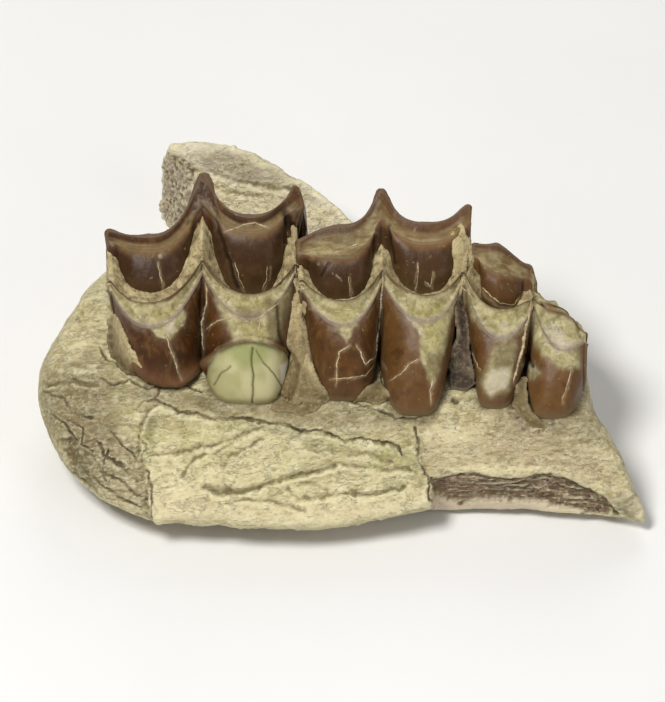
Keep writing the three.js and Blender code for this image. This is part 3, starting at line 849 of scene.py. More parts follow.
def normals_of(points, faces):
    """Unit normals at points, and the faces turned to point out."""
    triangles = np.array([f[:3] for f in faces] + [[f[0], f[2], f[3]] for f in faces if len(f) == 4])
    a, b, c = (points[triangles[:, k]] for k in range(3))
    cross = np.cross(b - a, c - a)
    turned = np.einsum("ij,ij->i", a, cross).sum() < 0
    normals = np.zeros_like(points)
    for k in range(3):
        np.add.at(normals, triangles[:, k], cross)
    normals /= np.maximum(np.linalg.norm(normals, axis=1, keepdims=True), 1e-12)
    if turned:
        return -normals, [f[::-1] for f in faces]
    return normals, faces


def edges_of(faces):
    """Pairs of neighbouring points."""
    pairs = []
    for size in (3, 4):
        some = np.array([f for f in faces if len(f) == size])
        if len(some):
            pairs += [some[:, [k, (k + 1) % size]] for k in range(size)]
    return np.unique(np.sort(np.concatenate(pairs), axis=1), axis=0)


def blurred(values, edges, passes):
    """Values at points, averaged with their neighbours a number of times."""
    count = np.bincount(edges.ravel(), minlength=len(values)).astype(float)
    shape = (-1,) + (1,) * (values.ndim - 1)
    for _ in range(passes):
        total = np.zeros_like(values, dtype=float)
        np.add.at(total, edges[:, 0], values[edges[:, 1]])
        np.add.at(total, edges[:, 1], values[edges[:, 0]])
        values = mix(values, total / np.maximum(count, 1).reshape(shape), 0.6)
    return values


def hollowness(points, normals, edges, passes, depth):
    """How far each point lies under its surroundings: 1 at a depth in millimetres."""
    sunk = ((blurred(points, edges, passes) - points) * normals).sum(axis=1)
    return np.clip(sunk / depth, -1, 1)


# Marks seen in the photograph, in its pixels. A line is (its points, half its width in
# pixels, its depth in millimetres); a patch is (its outline, the softness of its rim).
ENAMEL_CRACKS = {
    "molar_3": [
        ([(158, 262), (160, 274), (162, 286)], 1.0, 0.04),
        ([(235, 262), (238, 276), (245, 290)], 1.0, 0.04),
        ([(262, 290), (267, 275), (268, 265)], 0.8, 0.03),
        ([(225, 232), (240, 226), (255, 222), (268, 228)], 1.2, 0.03),
        ([(166, 336), (172, 353), (179, 375)], 1.3, 0.06),
        ([(207, 280), (206, 305), (202, 322), (204, 358)], 1.5, 0.06),
        ([(205, 330), (218, 321), (236, 317)], 1.2, 0.04),
        ([(236, 317), (250, 323), (262, 316), (285, 297)], 1.0, 0.03),
        ([(262, 316), (257, 331), (247, 338)], 0.9, 0.03),
    ],
    "molar_2": [
        ([(336, 385), (337, 368), (339, 352), (350, 345)], 1.1, 0.05),
        ([(330, 379), (348, 378), (365, 375), (377, 362)], 1.0, 0.04),
        ([(356, 345), (360, 352), (365, 364), (376, 356), (387, 370)], 1.3, 0.05),
        ([(328, 254), (345, 250), (360, 242)], 1.0, 0.05),
        ([(388, 382), (400, 374), (410, 364), (421, 358)], 1.0, 0.04),
        ([(433, 378), (430, 390), (431, 404)], 1.3, 0.05),
        ([(418, 262), (417, 278), (415, 294)], 0.9, 0.04),
        ([(425, 280), (431, 287), (433, 270)], 0.9, 0.04),
        ([(336, 274), (341, 279)], 0.8, 0.04),
        ([(349, 276), (350, 296)], 0.8, 0.04),
        ([(383, 270), (381, 300), (378, 330), (375, 360)], 2.0, 0.05),
        ([(332, 313), (352, 309), (366, 306)], 0.8, 0.03),
    ],
    "molar_1": [
        ([(571, 370), (567, 385), (562, 403)], 1.1, 0.05),
        ([(472, 352), (476, 362), (481, 371)], 0.9, 0.04),
        ([(532, 300), (527, 325), (521, 350), (513, 384)], 2.3, 0.06),
        ([(474, 282), (486, 290), (500, 304), (514, 304), (520, 296)], 1.2, 0.05),
        ([(462, 286), (473, 298)], 1.0, 0.05),
    ],
}
DOME_CRACKS = [
    ([(252, 348), (251, 360), (253, 375), (252, 404)], 1.2, 0.16),
    ([(233, 366), (224, 374), (216, 385)], 0.9, 0.1),
    ([(262, 363), (271, 374), (281, 387)], 0.9, 0.1),
    ([(255, 350), (262, 363)], 0.8, 0.05),
]
# Hollows with painted shade: the cheek side of a molar's front end, and creases beside the barrels.
SHADED_FURROWS = {
    "molar_3": [
        ([(287, 214), (291, 224), (297, 238)], 4.0, 0.45),
        ([(216, 222), (224, 240), (240, 284)], 2.2, 0.1),
        ([(284, 228), (285, 260), (281, 284)], 1.6, 0.08),
        ([(277, 303), (278, 322), (282, 345)], 2.0, 0.06),
    ],
    "molar_2": [([(389, 226), (391, 245), (396, 262)], 2.0, 0.12), ([(330, 262), (322, 275)], 1.5, 0.08)],
    "molar_1": [([(527, 356), (531, 366)], 2.0, 0.15)],
}
# Cream dentine where the enamel is worn or chipped through on the tongue side.
WORN_DROPS = {
    "molar_3": [
        ([(118, 292), (122, 304), (131, 314), (146, 326), (159, 338), (170, 340), (182, 326), (185, 314),
          (178, 305)], 3),
        ([(214, 284), (218, 304), (226, 322), (234, 340), (262, 344), (282, 338), (286, 310),
          (292, 290)], 9),
    ],
    "molar_2": [
        ([(300, 288), (310, 304), (326, 320), (336, 326), (346, 343), (353, 330), (360, 316),
          (376, 292)], 4),
        ([(392, 288), (402, 312), (420, 336), (421, 360), (431, 384), (437, 372), (445, 347), (452, 315),
          (460, 286)], 4),
    ],
    "molar_1": [
        ([(462, 290), (472, 317), (490, 335), (505, 345), (522, 330), (530, 300)], 7),
        ([(481, 382), (491, 364), (495, 342), (515, 342), (512, 366), (507, 389), (490, 397)], 9),
        ([(530, 312), (565, 314), (577, 342), (581, 366), (564, 370), (547, 358), (534, 345)], 7),
        ([(520, 364), (532, 362), (542, 374), (530, 380)], 5),
    ],
}
# Within the dentine, greener flaky places, dull brown ones and chalky white ones; some of the white ones
# are painted highlights.
MOSS = {
    "molar_3": [
        ([(152, 312), (176, 306), (178, 320), (162, 332)], 8),
        ([(232, 296), (285, 298), (278, 310), (240, 310)], 10),
        ([(240, 318), (262, 322), (268, 338), (246, 338)], 8),
    ],
    "molar_2": [
        ([(325, 306), (362, 302), (352, 330), (342, 330)], 9),
        ([(408, 306), (450, 300), (440, 352), (428, 350)], 10),
    ],
    "molar_1": [([(488, 314), (520, 310), (508, 328), (496, 326)], 9)],
}
DULL = {
    "molar_3": [
        ([(236, 306), (262, 308), (260, 326), (240, 324)], 9),
        ([(264, 300), (290, 296), (286, 344), (268, 344)], 6),
    ],
    "molar_2": [([(424, 356), (444, 350), (436, 384)], 8)],
    "molar_1": [([(493, 340), (516, 340), (511, 370), (494, 368)], 10)],
}
# Chalky white dentine, and painted highlights on the worn bands of the first and second molars.
CHALK_AND_HIGHLIGHTS = {
    "molar_3": [([(166, 322), (176, 316), (174, 332), (166, 334)], 6)],
    "molar_2": [
        ([(402, 312), (412, 318), (424, 336), (414, 332)], 6),
        ([(426, 234), (442, 233), (440, 240), (428, 241)], 5),
    ],
    "molar_1": [
        ([(484, 382), (491, 371), (510, 367), (508, 386), (490, 396)], 9),
        ([(545, 325), (560, 328), (571, 346), (560, 350)], 9),
        ([(498, 322), (509, 322), (506, 330)], 5),
        ([(521, 365), (532, 363), (541, 374)], 4),
    ],
}
DOME = [
    (207, 380), (209, 364), (219, 351), (234, 343), (252, 341), (270, 345), (284, 353), (292, 366),
    (290, 382), (284, 398), (272, 412), (240, 416), (214, 402),
]
DOME_TOP = [(228, 346), (246, 343), (270, 347), (262, 362), (246, 368), (234, 360)]
DOME_WHITE = [([(277, 366), (287, 361), (289, 371), (280, 386)], 4)]
DOME_SINK = 0.3
DOME_PROUD = 0.25
DOME_SPREAD = 0.12
ROOT_COLLAR = [(138, 362), (148, 372), (162, 379), (176, 380), (188, 374), (199, 366), (211, 361)]
CHIPPED_FRONT = {
    "molar_1": [([(528, 300), (545, 306), (575, 318), (582, 336), (604, 340), (604, 286), (535, 286)], 8)],
}
# The rounded ridge inside the middle crest of the last molar.
COLUMN = [
    (199, 188), (205, 176), (210, 186), (214, 204), (219, 224), (211, 217), (205, 212), (197, 218),
    (189, 220), (194, 204),
]
# The front end of the last molar: the rise of its tip on the photograph, in millimetres,
# and how far the wall under the tip bulges forward.
FRONT_TIP = 31.7
FRONT_BULGE = 1.3
SIGHT_RISE = (0.766, 0.6428)

# By molar, for its back and front lobe: how pale the worn band of the cheek side cusp is,
# how far from the crest it stays, and how light the brown of the enamel is.
CHEEK_PALENESS = {"molar_3": (0.12, 0.16), "molar_2": (0.5, 0.34), "molar_1": (0.42, 0.8)}
CHEEK_RIM = {"molar_3": (0.75, 0.8), "molar_2": (0.45, 0.8), "molar_1": (0.4, 0.1)}
AMBER = {"molar_3": (0.0, 0.08), "molar_2": (0.3, 0.75), "molar_1": (0.55, 0.85)}
# By molar, how dark its cheek side cusps are towards the pit.
DEEP = {"molar_3": 1.0, "molar_2": 1.0, "molar_1": 0.2}
# Thin bands of colour along a molar: places around its section, and their widths.
BANDS = {"edge": (OUTER, 0.12), "line": (INNER + 0.06, 0.16), "lilac": (OUTER + 0.22, 0.28)}
# Heights of the enamel's forms over the plain molar, in millimetres.
FACE_SWELL = 0.75
FACE_GROOVE = 0.35
CHEEK_RIB = 0.5
CHEEK_STYLE = 0.55
CHEEK_FLUTE = 0.45
BARREL_SWELL = 0.3
NOTCH_GROOVE = 0.12
BEADS = ((OUTER, 0.12), (INNER, 0.1), (CREST, 0.07))
BEAD_WIDTH = 0.14
BAND_WEAR = 0.16
FACE_LEDGE = 0.14
PILLAR = 0.38
CHIP_DEPTH = 0.1
DROP_DEPTH = 0.07
MOSS_DEPTH = 0.06
DOME_ROLL = 0.16
COLLAR_ROLL = 0.6
COLUMN_RISE = 0.5
# Masks that only the molar with the dome has.
DOME_MASKS = ("dome", "dome_top", "dome_line", "dome_rim_shade", "collar", "column")


def patch_share(pixels, patches):
    """How far inside soft patches each place is, from 0 to 1."""
    share = np.zeros(len(pixels))
    for outline, rim in patches:
        share = np.maximum(share, ease(-rim / 2, rim / 2, depth_in_patch(pixels, outline)))
    return share


def line_share(pixels, lines):
    """Strength and depth of the lines at each place."""
    share, depth = np.zeros(len(pixels)), np.zeros(len(pixels))
    for line, half_width, line_depth in lines:
        near = np.exp(-((distance_to_line(pixels, line) / half_width) ** 2))
        share = np.maximum(share, near)
        depth = np.maximum(depth, near * line_depth)
    return share, depth


def bell(value, centre, width):
    return np.exp(-(((value - centre) / width) ** 2))


def window(value, low, high, soft):
    """1 between low and high, with soft ends inside them."""
    return ease(low, low + soft, value) * (1 - ease(high - soft, high, value))


def wandered(points, pixels, size, reach, seed):
    """Pixels moved about by a smooth random field, so that nothing drawn is straight."""
    shift = [layered(points, size, seed), layered(points, size, seed + 50)]
    return pixels + reach * np.stack(shift, axis=1)


def front_end(name, points, u, lobe):
    """How far the cheek half of the last molar's front end bulges forward under its tip."""
    if name != "molar_3":
        return np.zeros(len(points))
    drop = FRONT_TIP - points @ np.array([0, *SIGHT_RISE])
    bulge = FRONT_BULGE * (1 - np.exp(-np.maximum(drop, 0) / 2.2))
    return bulge * ease(0.6, 1, u) * (lobe == 1) * ease(16, 18.5, points[:, 1])


def molar_forms(points, u, place, inner_notch):
    """Height of a molar's bellies, ribs, grooves and beads, in millimetres."""
    across = np.abs(u)
    steep = ease(0.35, 0.85, across)
    face = np.sin(np.pi * np.clip((place - PIT - 0.7) / (RISE - PIT - 0.6), 0, 1)) ** 0.7
    relief = face * (FACE_SWELL * (1 - steep) - FACE_GROOVE * bell(across, 0.86, 0.08))
    cheek_wall = np.sin(np.pi * np.clip((place - CREST) / 3, 0, 1))
    styles = CHEEK_STYLE * bell(across, 1, 0.14) * inner_notch
    flutes = CHEEK_FLUTE * bell(across, 0.55, 0.2)
    relief += cheek_wall * (CHEEK_RIB * bell(u, 0, 0.22) + styles - flutes)
    tongue_wall = np.sin(np.pi * np.clip((place - NECK) / (OUTER - NECK), 0, 1))
    groove = NOTCH_GROOVE * bell(across, 0.98, 0.045) * inner_notch
    relief += tongue_wall * (BARREL_SWELL * (1 - steep) - groove)
    for line, rise in BEADS:
        relief += rise * bell(place, line, BEAD_WIDTH)
    relief -= BAND_WEAR * np.clip(1 - np.abs(place - BAND), 0, 1) ** 0.5
    relief -= FACE_LEDGE * bell(place, RISE + 0.9, 0.5) * (1 - 0.6 * steep)
    pillar = bell(across, 1, 0.2) * bell(place, CREST - 0.4, 1.4) * np.where(inner_notch, 1, 0.4)
    relief += pillar * (PILLAR + 0.09 * layered(points, (0.4, 0.4, 4), 13))
    relief += 0.09 * layered(points, (1.8, 1.8, 3.4), 11) + 0.015 * layered(points, (0.3, 0.3, 1.6), 5)
    return relief


def dome_relief(points, pixels, seen, place):
    """Height of the green dome, the rolls round it and the ridge, and their masks."""
    inside = depth_in_patch(wandered(points, pixels, 1.2, 1.4, 43), DOME)
    dome = ease(-0.5, 1.5, inside) * seen * (place < OUTER)
    relief = dome * (DOME_PROUD * ease(1, 26, inside) - DOME_SINK)
    rim_above = ease(398, 380, pixels[:, 1])
    relief += DOME_ROLL * bell(inside, -2.2, 1.8) * seen * (place < PIT) * rim_above
    crack, depth = line_share(wandered(points, pixels, 0.6, 0.8, 47), DOME_CRACKS)
    relief -= depth * dome
    collar = bell(distance_to_line(pixels, ROOT_COLLAR), 0, 5.5) * seen * ease(3, -5, inside)
    relief += COLLAR_ROLL * collar
    column = patch_share(pixels, [(COLUMN, 7)]) * (place > RISE) * seen
    relief += column * (COLUMN_RISE + 0.32 * layered(points, (0.3, 0.3, 5), 19))
    top = patch_share(pixels, [(DOME_TOP, 12)])
    # Painted shade round the dome's edge, where the enamel around it overhangs.
    rim = dome * (1 - ease(0, 9, inside))
    return relief, dict(zip(DOME_MASKS, (dome, top, crack * dome, rim, collar, column)))


def molar_relief(name, points, pixels, seen, u, lobe, place):
    """Height of the enamel over its plain form, in millimetres, and the masks of its colours."""
    relief = molar_forms(points, u, place, (lobe == 0) == (u > 0))
    end = bell(np.abs(u), 1, 0.12)
    on_tongue = place < PIT
    tongue_band = window(place, OUTER - 0.05, INNER - 0.1, 0.4)
    rim = np.array(CHEEK_RIM[name])[lobe]
    cheek_band = window(place, RISE - 0.1, CREST + 0.1 - rim, 0.4)
    cheek_soft = window(place, RISE - 0.4, CREST + 0.1 - rim, 0.55)
    paleness = np.array(CHEEK_PALENESS[name])[lobe] * (1 - 0.7 * end)
    rims = np.maximum.reduce([bell(place, line, 0.4) for line in (OUTER, INNER, RISE)])
    chips = ease(0.36, 0.5, layered(points, 0.6, 21)) * rims * ease(0.0, 0.3, layered(points, 3, 23))
    drops = patch_share(wandered(points, pixels, 0.9, 3.5, 31), WORN_DROPS[name]) * seen * on_tongue
    fade = patch_share(pixels, [(outline, soft + 18) for outline, soft in WORN_DROPS[name]]) * seen
    moss = patch_share(wandered(points, pixels, 0.6, 4.0, 33), MOSS[name]) * seen
    chalk_and_highlight = patch_share(wandered(points, pixels, 0.6, 3.0, 35), CHALK_AND_HIGHLIGHTS[name]) * seen
    flaky = layered(points, 0.5, 37)
    relief -= CHIP_DEPTH * chips + drops * (DROP_DEPTH - 0.04 * flaky) + moss * MOSS_DEPTH * np.abs(flaky)
    crack, depth = line_share(wandered(points, pixels, 0.5, CRACK_WANDER, 39), ENAMEL_CRACKS[name])
    # Furrows cut in, with painted shade in them.
    furrow_shade, furrow_depth = line_share(wandered(points, pixels, 0.8, 1.5, 49), SHADED_FURROWS[name])
    relief -= (depth + furrow_depth) * seen

    masks = {key: np.zeros(len(points)) for key in DOME_MASKS}
    if name == "molar_3":
        more, masks = dome_relief(points, pixels, seen, place)
        relief += more
        chalk_and_highlight = np.maximum(chalk_and_highlight, patch_share(pixels, DOME_WHITE))
    dome, column = masks["dome"], masks.pop("column")
    broken = patch_share(pixels, CHIPPED_FRONT.get(name, [])) * (place > COLLAR_AT)
    relief -= broken * (0.3 + 0.3 * terraces(layered(points, 1.6, 47), 3)) * (1 - bell(u, 1, 0.1))
    worn = np.maximum.reduce([tongue_band, cheek_band * paleness, chips, drops, 0.9 * broken])
    halo = 0.8 * bell(place, OUTER - 0.25, 0.3) + 0.5 * bell(place, RISE + 0.2, 0.3)
    crest_tone = bell(place, CREST, 0.5) * (0.7 + 0.3 * layered(points, 1.5, 27))
    masks |= {key: bell(place, line, width) for key, (line, width) in BANDS.items()}
    masks |= {
        "worn": np.clip(worn, 0, 1),
        "fade": np.clip(np.maximum(fade * on_tongue, halo), 0, 1),
        "moss": moss,
        "chalk_and_highlight": chalk_and_highlight * np.maximum(worn, dome),
        "dull": patch_share(pixels, DULL[name]),
        "crack": crack * seen * (0.75 + 0.25 * flaky) * (1 - dome),
        "furrow_shade": np.clip(furrow_shade * seen, 0, 1),
        "rim": np.maximum(crest_tone, column),
        "cheek": cheek_band * np.minimum(1, 2.4 * paleness),
        "gold": cheek_soft * (1 - paleness) * (1 - bell(np.abs(u), 1, 0.16)),
        "deep": window(place, PIT, RISE - 0.1, 0.3) * DEEP[name],
        "amber": np.array(AMBER[name])[lobe],
        "low": 1 - ease(GUM, GUM + 5, points[:, 2]),
        "dust": np.clip(bell(place, PIT + 0.5, 0.9) + 1 - ease(GUM, GUM + 1.2, points[:, 2]), 0, 1),
    }
    return relief, masks


def make_molar(name):
    """A molar's enamel, with its worn edges, barrels, chips and healed cracks."""
    points, faces, u, lobe, place = molar_tube(name)
    points[:, 0] += front_end(name, points, u, lobe)
    normals, faces = normals_of(points, faces)
    seen = ease(0.0, 0.15, -(normals @ AWAY))
    relief, masks = molar_relief(name, points, pixels_of(points), seen, u, lobe, place)
    points = points + relief[:, None] * normals
    middle = points[masks["dome"] > 0.5, 0].mean() if masks["dome"].max() > 0.5 else 0
    points[:, 0] += DOME_SPREAD * masks["dome"] * (points[:, 0] - middle)
    normals, faces = normals_of(points, faces)
    masks["hollow"] = hollowness(points, normals, edges_of(faces), 8, 0.06)
    piece = piece_from(name + "_enamel", points, faces, masks)
    piece.data.materials.append(ENAMEL)
    finish_piece(piece, "enamel", name)
    return points, faces


def mark_surface(surfaces, pixel):
    """The carving point that a pixel of the photograph shows on the nearest of some surfaces."""
    best, best_depth = None, 1e9
    for tree in surfaces:
        place, _, _, depth = tree.ray_cast(Vector(EYE), Vector(sight_line(pixel)))
        if place is not None and depth < best_depth:
            best, best_depth = np.array(place), depth
    return best


# Cream mineral that heals the cracks, as a fine raised thread along each.
CRACK_WANDER = 2.0
VEIN_RADIUS = 0.055
VEIN_STEP = 0.15
VEIN_SEED = 5
VEIN_JUMP = 1.5
VEIN_PARTS = 5


def vein_tree():
    """Geometry Nodes: threads along curves, thin at their ends and uneven between."""
    tree = bpy.data.node_groups.new("mineral threads", "GeometryNodeTree")
    inputs = {"Curves": "Geometry", "Radius": "Float", "Step": "Float", "Seed": "Int", "Finish": "Material"}
    for key, kind in inputs.items():
        tree.interface.new_socket(key, in_out="INPUT", socket_type="NodeSocket" + kind)
    tree.interface.new_socket("Threads", in_out="OUTPUT", socket_type="NodeSocketGeometry")
    given = tree.nodes.new("NodeGroupInput").outputs
    out = tree.nodes.new("NodeGroupOutput")
    even = put(tree, "GeometryNodeResampleCurve",
               {"Curve": given["Curves"], "Length": given["Step"]}, mode="LENGTH")
    along = put(tree, "GeometryNodeSplineParameter")
    middle = math_of(tree, "SUBTRACT", along.outputs["Factor"], 0.5)
    outward = math_of(tree, "ABSOLUTE", math_of(tree, "MULTIPLY", middle, 2.0))
    taper = math_of(tree, "SUBTRACT", 1.0, math_of(tree, "POWER", outward, 6.0))
    uneven = put(tree, "FunctionNodeRandomValue", {2: 0.6, 3: 1.5, "Seed": given["Seed"]})
    share = math_of(tree, "MULTIPLY", uneven.outputs[1], taper)
    drawn = math_of(tree, "MULTIPLY", tree.nodes.new("GeometryNodeInputRadius").outputs[0], share)
    radius = math_of(tree, "MULTIPLY", given["Radius"], drawn)
    profile = put(tree, "GeometryNodeCurvePrimitiveCircle", {"Resolution": 6, "Radius": 1.0})
    made = put(tree, "GeometryNodeCurveToMesh",
               {"Curve": even.outputs["Curve"], "Profile Curve": profile.outputs["Curve"],
                "Scale": radius, "Fill Caps": True})
    real = put(tree, "GeometryNodeRealizeInstances", {"Geometry": made.outputs["Mesh"]})
    dressed = put(tree, "GeometryNodeSetMaterial",
                  {"Geometry": real.outputs["Geometry"], "Material": given["Finish"]})
    tree.links.new(dressed.outputs["Geometry"], out.inputs["Threads"])
    return tree


def with_tree(piece, tree, values):
    """A piece run through a Geometry Nodes tree with its named inputs set, as plain mesh."""
    modifier = piece.modifiers.new("made", "NODES")
    modifier.node_group = tree
    for item in tree.interface.items_tree:
        if item.in_out == "INPUT" and item.name in values:
            modifier[item.identifier] = values[item.name]
    graph = bpy.context.evaluated_depsgraph_get()
    mesh = bpy.data.meshes.new_from_object(piece.evaluated_get(graph))
    name = piece.name
    bpy.data.objects.remove(piece)
    made = bpy.data.objects.new(name, mesh)
    bpy.context.scene.collection.objects.link(made)
    return made


def make_veins(name, surface):
    """The mineral threads in one molar's cracks."""
    curve = bpy.data.curves.new(name + "_veins", "CURVE")
    curve.dimensions = "3D"
    for line, half_width, _ in ENAMEL_CRACKS[name]:
        line = np.array(line, float)
        stretches = np.linspace(0, len(line) - 1, VEIN_PARTS * (len(line) - 1) + 1)
        path = []
        for at in stretches:
            k = min(int(at), len(line) - 2)
            pixel = mix(line[k], line[k + 1], at - k)
            place = mark_surface([surface], pixel)
            if place is not None:
                path.append(place)
        path = np.array(path)
        if len(path) < 3:
            continue
        drawn = pixels_of(path)
        drawn = drawn - (wandered(path, drawn, 0.5, CRACK_WANDER, 39) - drawn)
        path = [mark_surface([surface], pixel) for pixel in drawn]
        path = [place for place in path if place is not None]
        keep = [path[0]]
        for place in path[1:]:
            if np.linalg.norm(place - keep[-1]) < VEIN_JUMP:
                keep.append(place)
        spline = curve.splines.new("POLY")
        spline.points.add(len(keep) - 1)
        for point, place in zip(spline.points, to_row(np.array(keep))):
            point.co = (*place, 1)
            point.radius = half_width**1.5
    piece = bpy.data.objects.new(name + "_veins", curve)
    bpy.context.scene.collection.objects.link(piece)
    values = {"Radius": VEIN_RADIUS / 1000, "Step": VEIN_STEP / 1000, "Seed": VEIN_SEED,
              "Finish": VEIN}
    piece = with_tree(piece, THREADS, values)
    piece.data.shade_smooth()
    finish_piece(piece, "rock")


THREADS = vein_tree()


# Bone: its marks in the photograph's pixels, as on the molars.
VOXEL = 0.45
PLUG_INSET = 0.35
PLUG_FOOT = 6.6
PLUG_COLUMNS = 33
# Cracks in the bone, and lines of painted shade along the bone under the molars; both are dark and cut in.
PALATE_CRACKS_AND_SHADE_LINES = [
    ([(100, 378), (115, 384), (130, 380), (148, 389), (160, 385), (175, 388), (186, 386),
      (200, 390)], 1.2, 0.3),
    ([(160, 386), (153, 398), (168, 403), (180, 411), (198, 413), (215, 419), (238, 417), (260, 422),
      (285, 424)], 1.4, 0.35),
    ([(285, 424), (300, 431), (316, 429), (330, 433), (345, 441), (360, 438), (375, 441), (400, 447),
      (404, 453)], 1.3, 0.3),
    ([(100, 348), (106, 359), (120, 366), (135, 359)], 1.4, 0.35),
    ([(153, 398), (144, 402), (137, 411)], 1.0, 0.2),
    ([(415, 428), (421, 447), (417, 458), (426, 471), (431, 480)], 1.2, 0.3),
    ([(432, 478), (429, 490), (431, 505)], 1.6, 0.4),
    ([(139, 436), (146, 446), (142, 456)], 1.1, 0.25),
    ([(148, 470), (150, 485), (153, 516)], 1.3, 0.3),
    ([(112, 432), (122, 447), (138, 459)], 1.0, 0.2),
    ([(70, 420), (84, 428), (80, 444), (92, 452)], 1.0, 0.2),
    ([(350, 400), (367, 407), (383, 411), (397, 419), (416, 419), (428, 412)], 1.4, 0.35),
    ([(453, 401), (457, 403)], 3.6, 0.8),
    ([(100, 470), (118, 478), (132, 492), (147, 498)], 1.7, 0.5),
    ([(82, 468), (98, 484), (122, 499), (140, 510)], 1.7, 0.45),
    ([(96, 440), (104, 456), (120, 464), (136, 479)], 1.6, 0.45),
    ([(108, 452), (101, 468), (104, 480)], 1.4, 0.4),
    ([(46, 392), (62, 398), (72, 412), (90, 418)], 1.5, 0.3),
    ([(52, 414), (66, 424), (74, 440)], 1.4, 0.3),
    ([(190, 232), (210, 226), (240, 222)], 1.0, 0.15),
    ([(612, 509), (614, 512)], 2.6, 0.5),
]
PALATE_FOLDS = [
    ([(140, 453), (175, 453), (215, 444), (240, 436), (262, 428)], 3.0, 0.28),
    ([(182, 476), (192, 463), (205, 454), (225, 446), (250, 432)], 2.6, 0.26),
    ([(222, 470), (230, 457), (246, 450), (262, 440)], 2.2, 0.18),
    ([(205, 488), (222, 493), (240, 492), (260, 487), (280, 480), (300, 475), (335, 466)], 3.6, 0.4),
    ([(288, 490), (297, 499), (315, 498), (330, 495), (350, 494), (370, 496), (391, 490),
      (403, 489)], 2.8, 0.32),
    ([(228, 503), (250, 500), (270, 503), (290, 505), (305, 512)], 2.2, 0.2),
    ([(305, 446), (330, 452), (360, 452), (390, 460)], 3.0, 0.15),
    ([(300, 465), (340, 462), (375, 470), (410, 468)], 3.0, 0.15),
    ([(190, 170), (222, 175), (240, 182), (290, 190)], 2.2, 0.2),
    ([(196, 182), (225, 190), (262, 196)], 2.0, 0.15),
    ([(48, 384), (75, 382), (96, 386)], 2.4, 0.25),
]
# The bone stands up along the lower side of each fold, this far under it.
FOLD_LEDGE = 5
# The flaky plate of the palate, which stands above the bone around it.
PLATE = [
    (141, 436), (150, 412), (160, 404), (180, 413), (215, 421), (238, 420), (260, 424), (285, 427),
    (300, 433), (330, 436), (345, 443), (375, 444), (400, 449), (416, 444), (420, 458), (428, 474),
    (431, 506), (320, 530), (155, 522), (148, 500), (150, 470), (140, 456),
]
PLATE_RISE = 0.3
# Painted shade and painted light on the ground: its darker and lighter patches.
BONE_PAINTED_SHADE = [
    ([(40, 366), (92, 356), (122, 372), (126, 436), (80, 500), (44, 430)], 30),
    ([(84, 384), (150, 384), (300, 404), (420, 412), (428, 426), (330, 430), (200, 410), (100, 398)], 18),
    ([(490, 404), (600, 402), (612, 436), (560, 442), (500, 432)], 30),
    ([(200, 152), (260, 156), (300, 180), (320, 205), (290, 196), (240, 182), (200, 168)], 12),
]
BONE_PAINTED_LIGHT = [
    ([(152, 446), (260, 432), (320, 452), (420, 474), (430, 504), (320, 524), (156, 518)], 26),
    ([(200, 182), (250, 186), (300, 196), (345, 222), (230, 226), (206, 205)], 16),
    ([(170, 156), (184, 158), (202, 170), (250, 188), (300, 202), (286, 208), (240, 202), (200, 186),
      (184, 172)], 5),
    ([(84, 490), (112, 500), (152, 514), (152, 526), (108, 518), (80, 500)], 6),
    ([(432, 424), (480, 428), (480, 462), (436, 468)], 20),
    ([(436, 464), (500, 464), (560, 465), (600, 480), (604, 492), (560, 472), (500, 474), (440, 474)], 8),
]
# Soft rolls that stand up from the bone.
PALATE_ROLLS = [
    ([(321, 514), (325, 514)], 3.0, 0.25),
    ([(408, 472), (411, 474)], 2.5, 0.2),
    ([(60, 371), (80, 373), (104, 368)], 5.0, 0.3),
    ([(120, 395), (140, 401), (170, 409), (200, 420)], 7.0, 0.25),
    ([(200, 480), (240, 484), (280, 472), (320, 460)], 7.0, 0.25),
    ([(190, 446), (215, 436), (245, 428)], 5.0, 0.2),
    ([(455, 470), (500, 470), (560, 472), (600, 492)], 5.0, 0.22),
    ([(430, 478), (426, 492), (428, 505)], 4.0, 0.2),
    ([(152, 508), (154, 516), (160, 518)], 4.0, 0.2),
]
BROKEN_RIGHT = [
    (433, 479), (456, 474), (475, 473), (493, 478), (520, 481), (542, 476), (565, 478), (585, 489),
    (604, 499), (612, 508), (604, 516), (583, 514), (563, 507), (543, 502), (503, 499), (480, 501),
    (463, 503), (436, 494),
]
WHITE_LIP = [
    (434, 494), (463, 502), (480, 500), (503, 498), (543, 501), (563, 506), (583, 513), (610, 518),
    (640, 536), (575, 528), (534, 526), (493, 524), (463, 522), (432, 512),
]
BROKEN_LEFT = [
    (60, 440), (84, 436), (104, 436), (122, 440), (138, 446), (146, 470), (147, 500), (154, 524),
    (120, 516), (96, 504), (76, 484),
]
# The tuberosity's patch carries its brown and its painted shade.
TUBEROSITY = [(42, 380), (60, 372), (92, 376), (104, 392), (110, 420), (112, 440), (66, 446), (48, 410)]
SPONGY_END = [
    (160, 150), (184, 156), (197, 168), (192, 185), (197, 204), (190, 222), (178, 236), (156, 214),
]
GREEN_BONE = [
    (100, 352), (130, 392), (200, 420), (330, 445), (400, 440), (425, 470), (425, 490), (300, 500),
    (160, 476), (120, 440),
]
PALE_BONE = [(420, 424), (600, 425), (620, 490), (500, 476), (430, 474)]
LIGHT_LIP = [
    (152, 490), (180, 496), (230, 508), (330, 508), (380, 500), (430, 488), (430, 512), (320, 526),
    (200, 520), (152, 518),
]
RED_END = [(430, 478), (478, 472), (484, 490), (476, 504), (432, 498)]
ROUGH_TIP = [(614, 496), (630, 490), (648, 520), (646, 538), (616, 524)]
SPONGY_HOLLOW = [
    (513, 392), (522, 398), (530, 410), (560, 412), (552, 430), (535, 438), (520, 430), (510, 412),
]
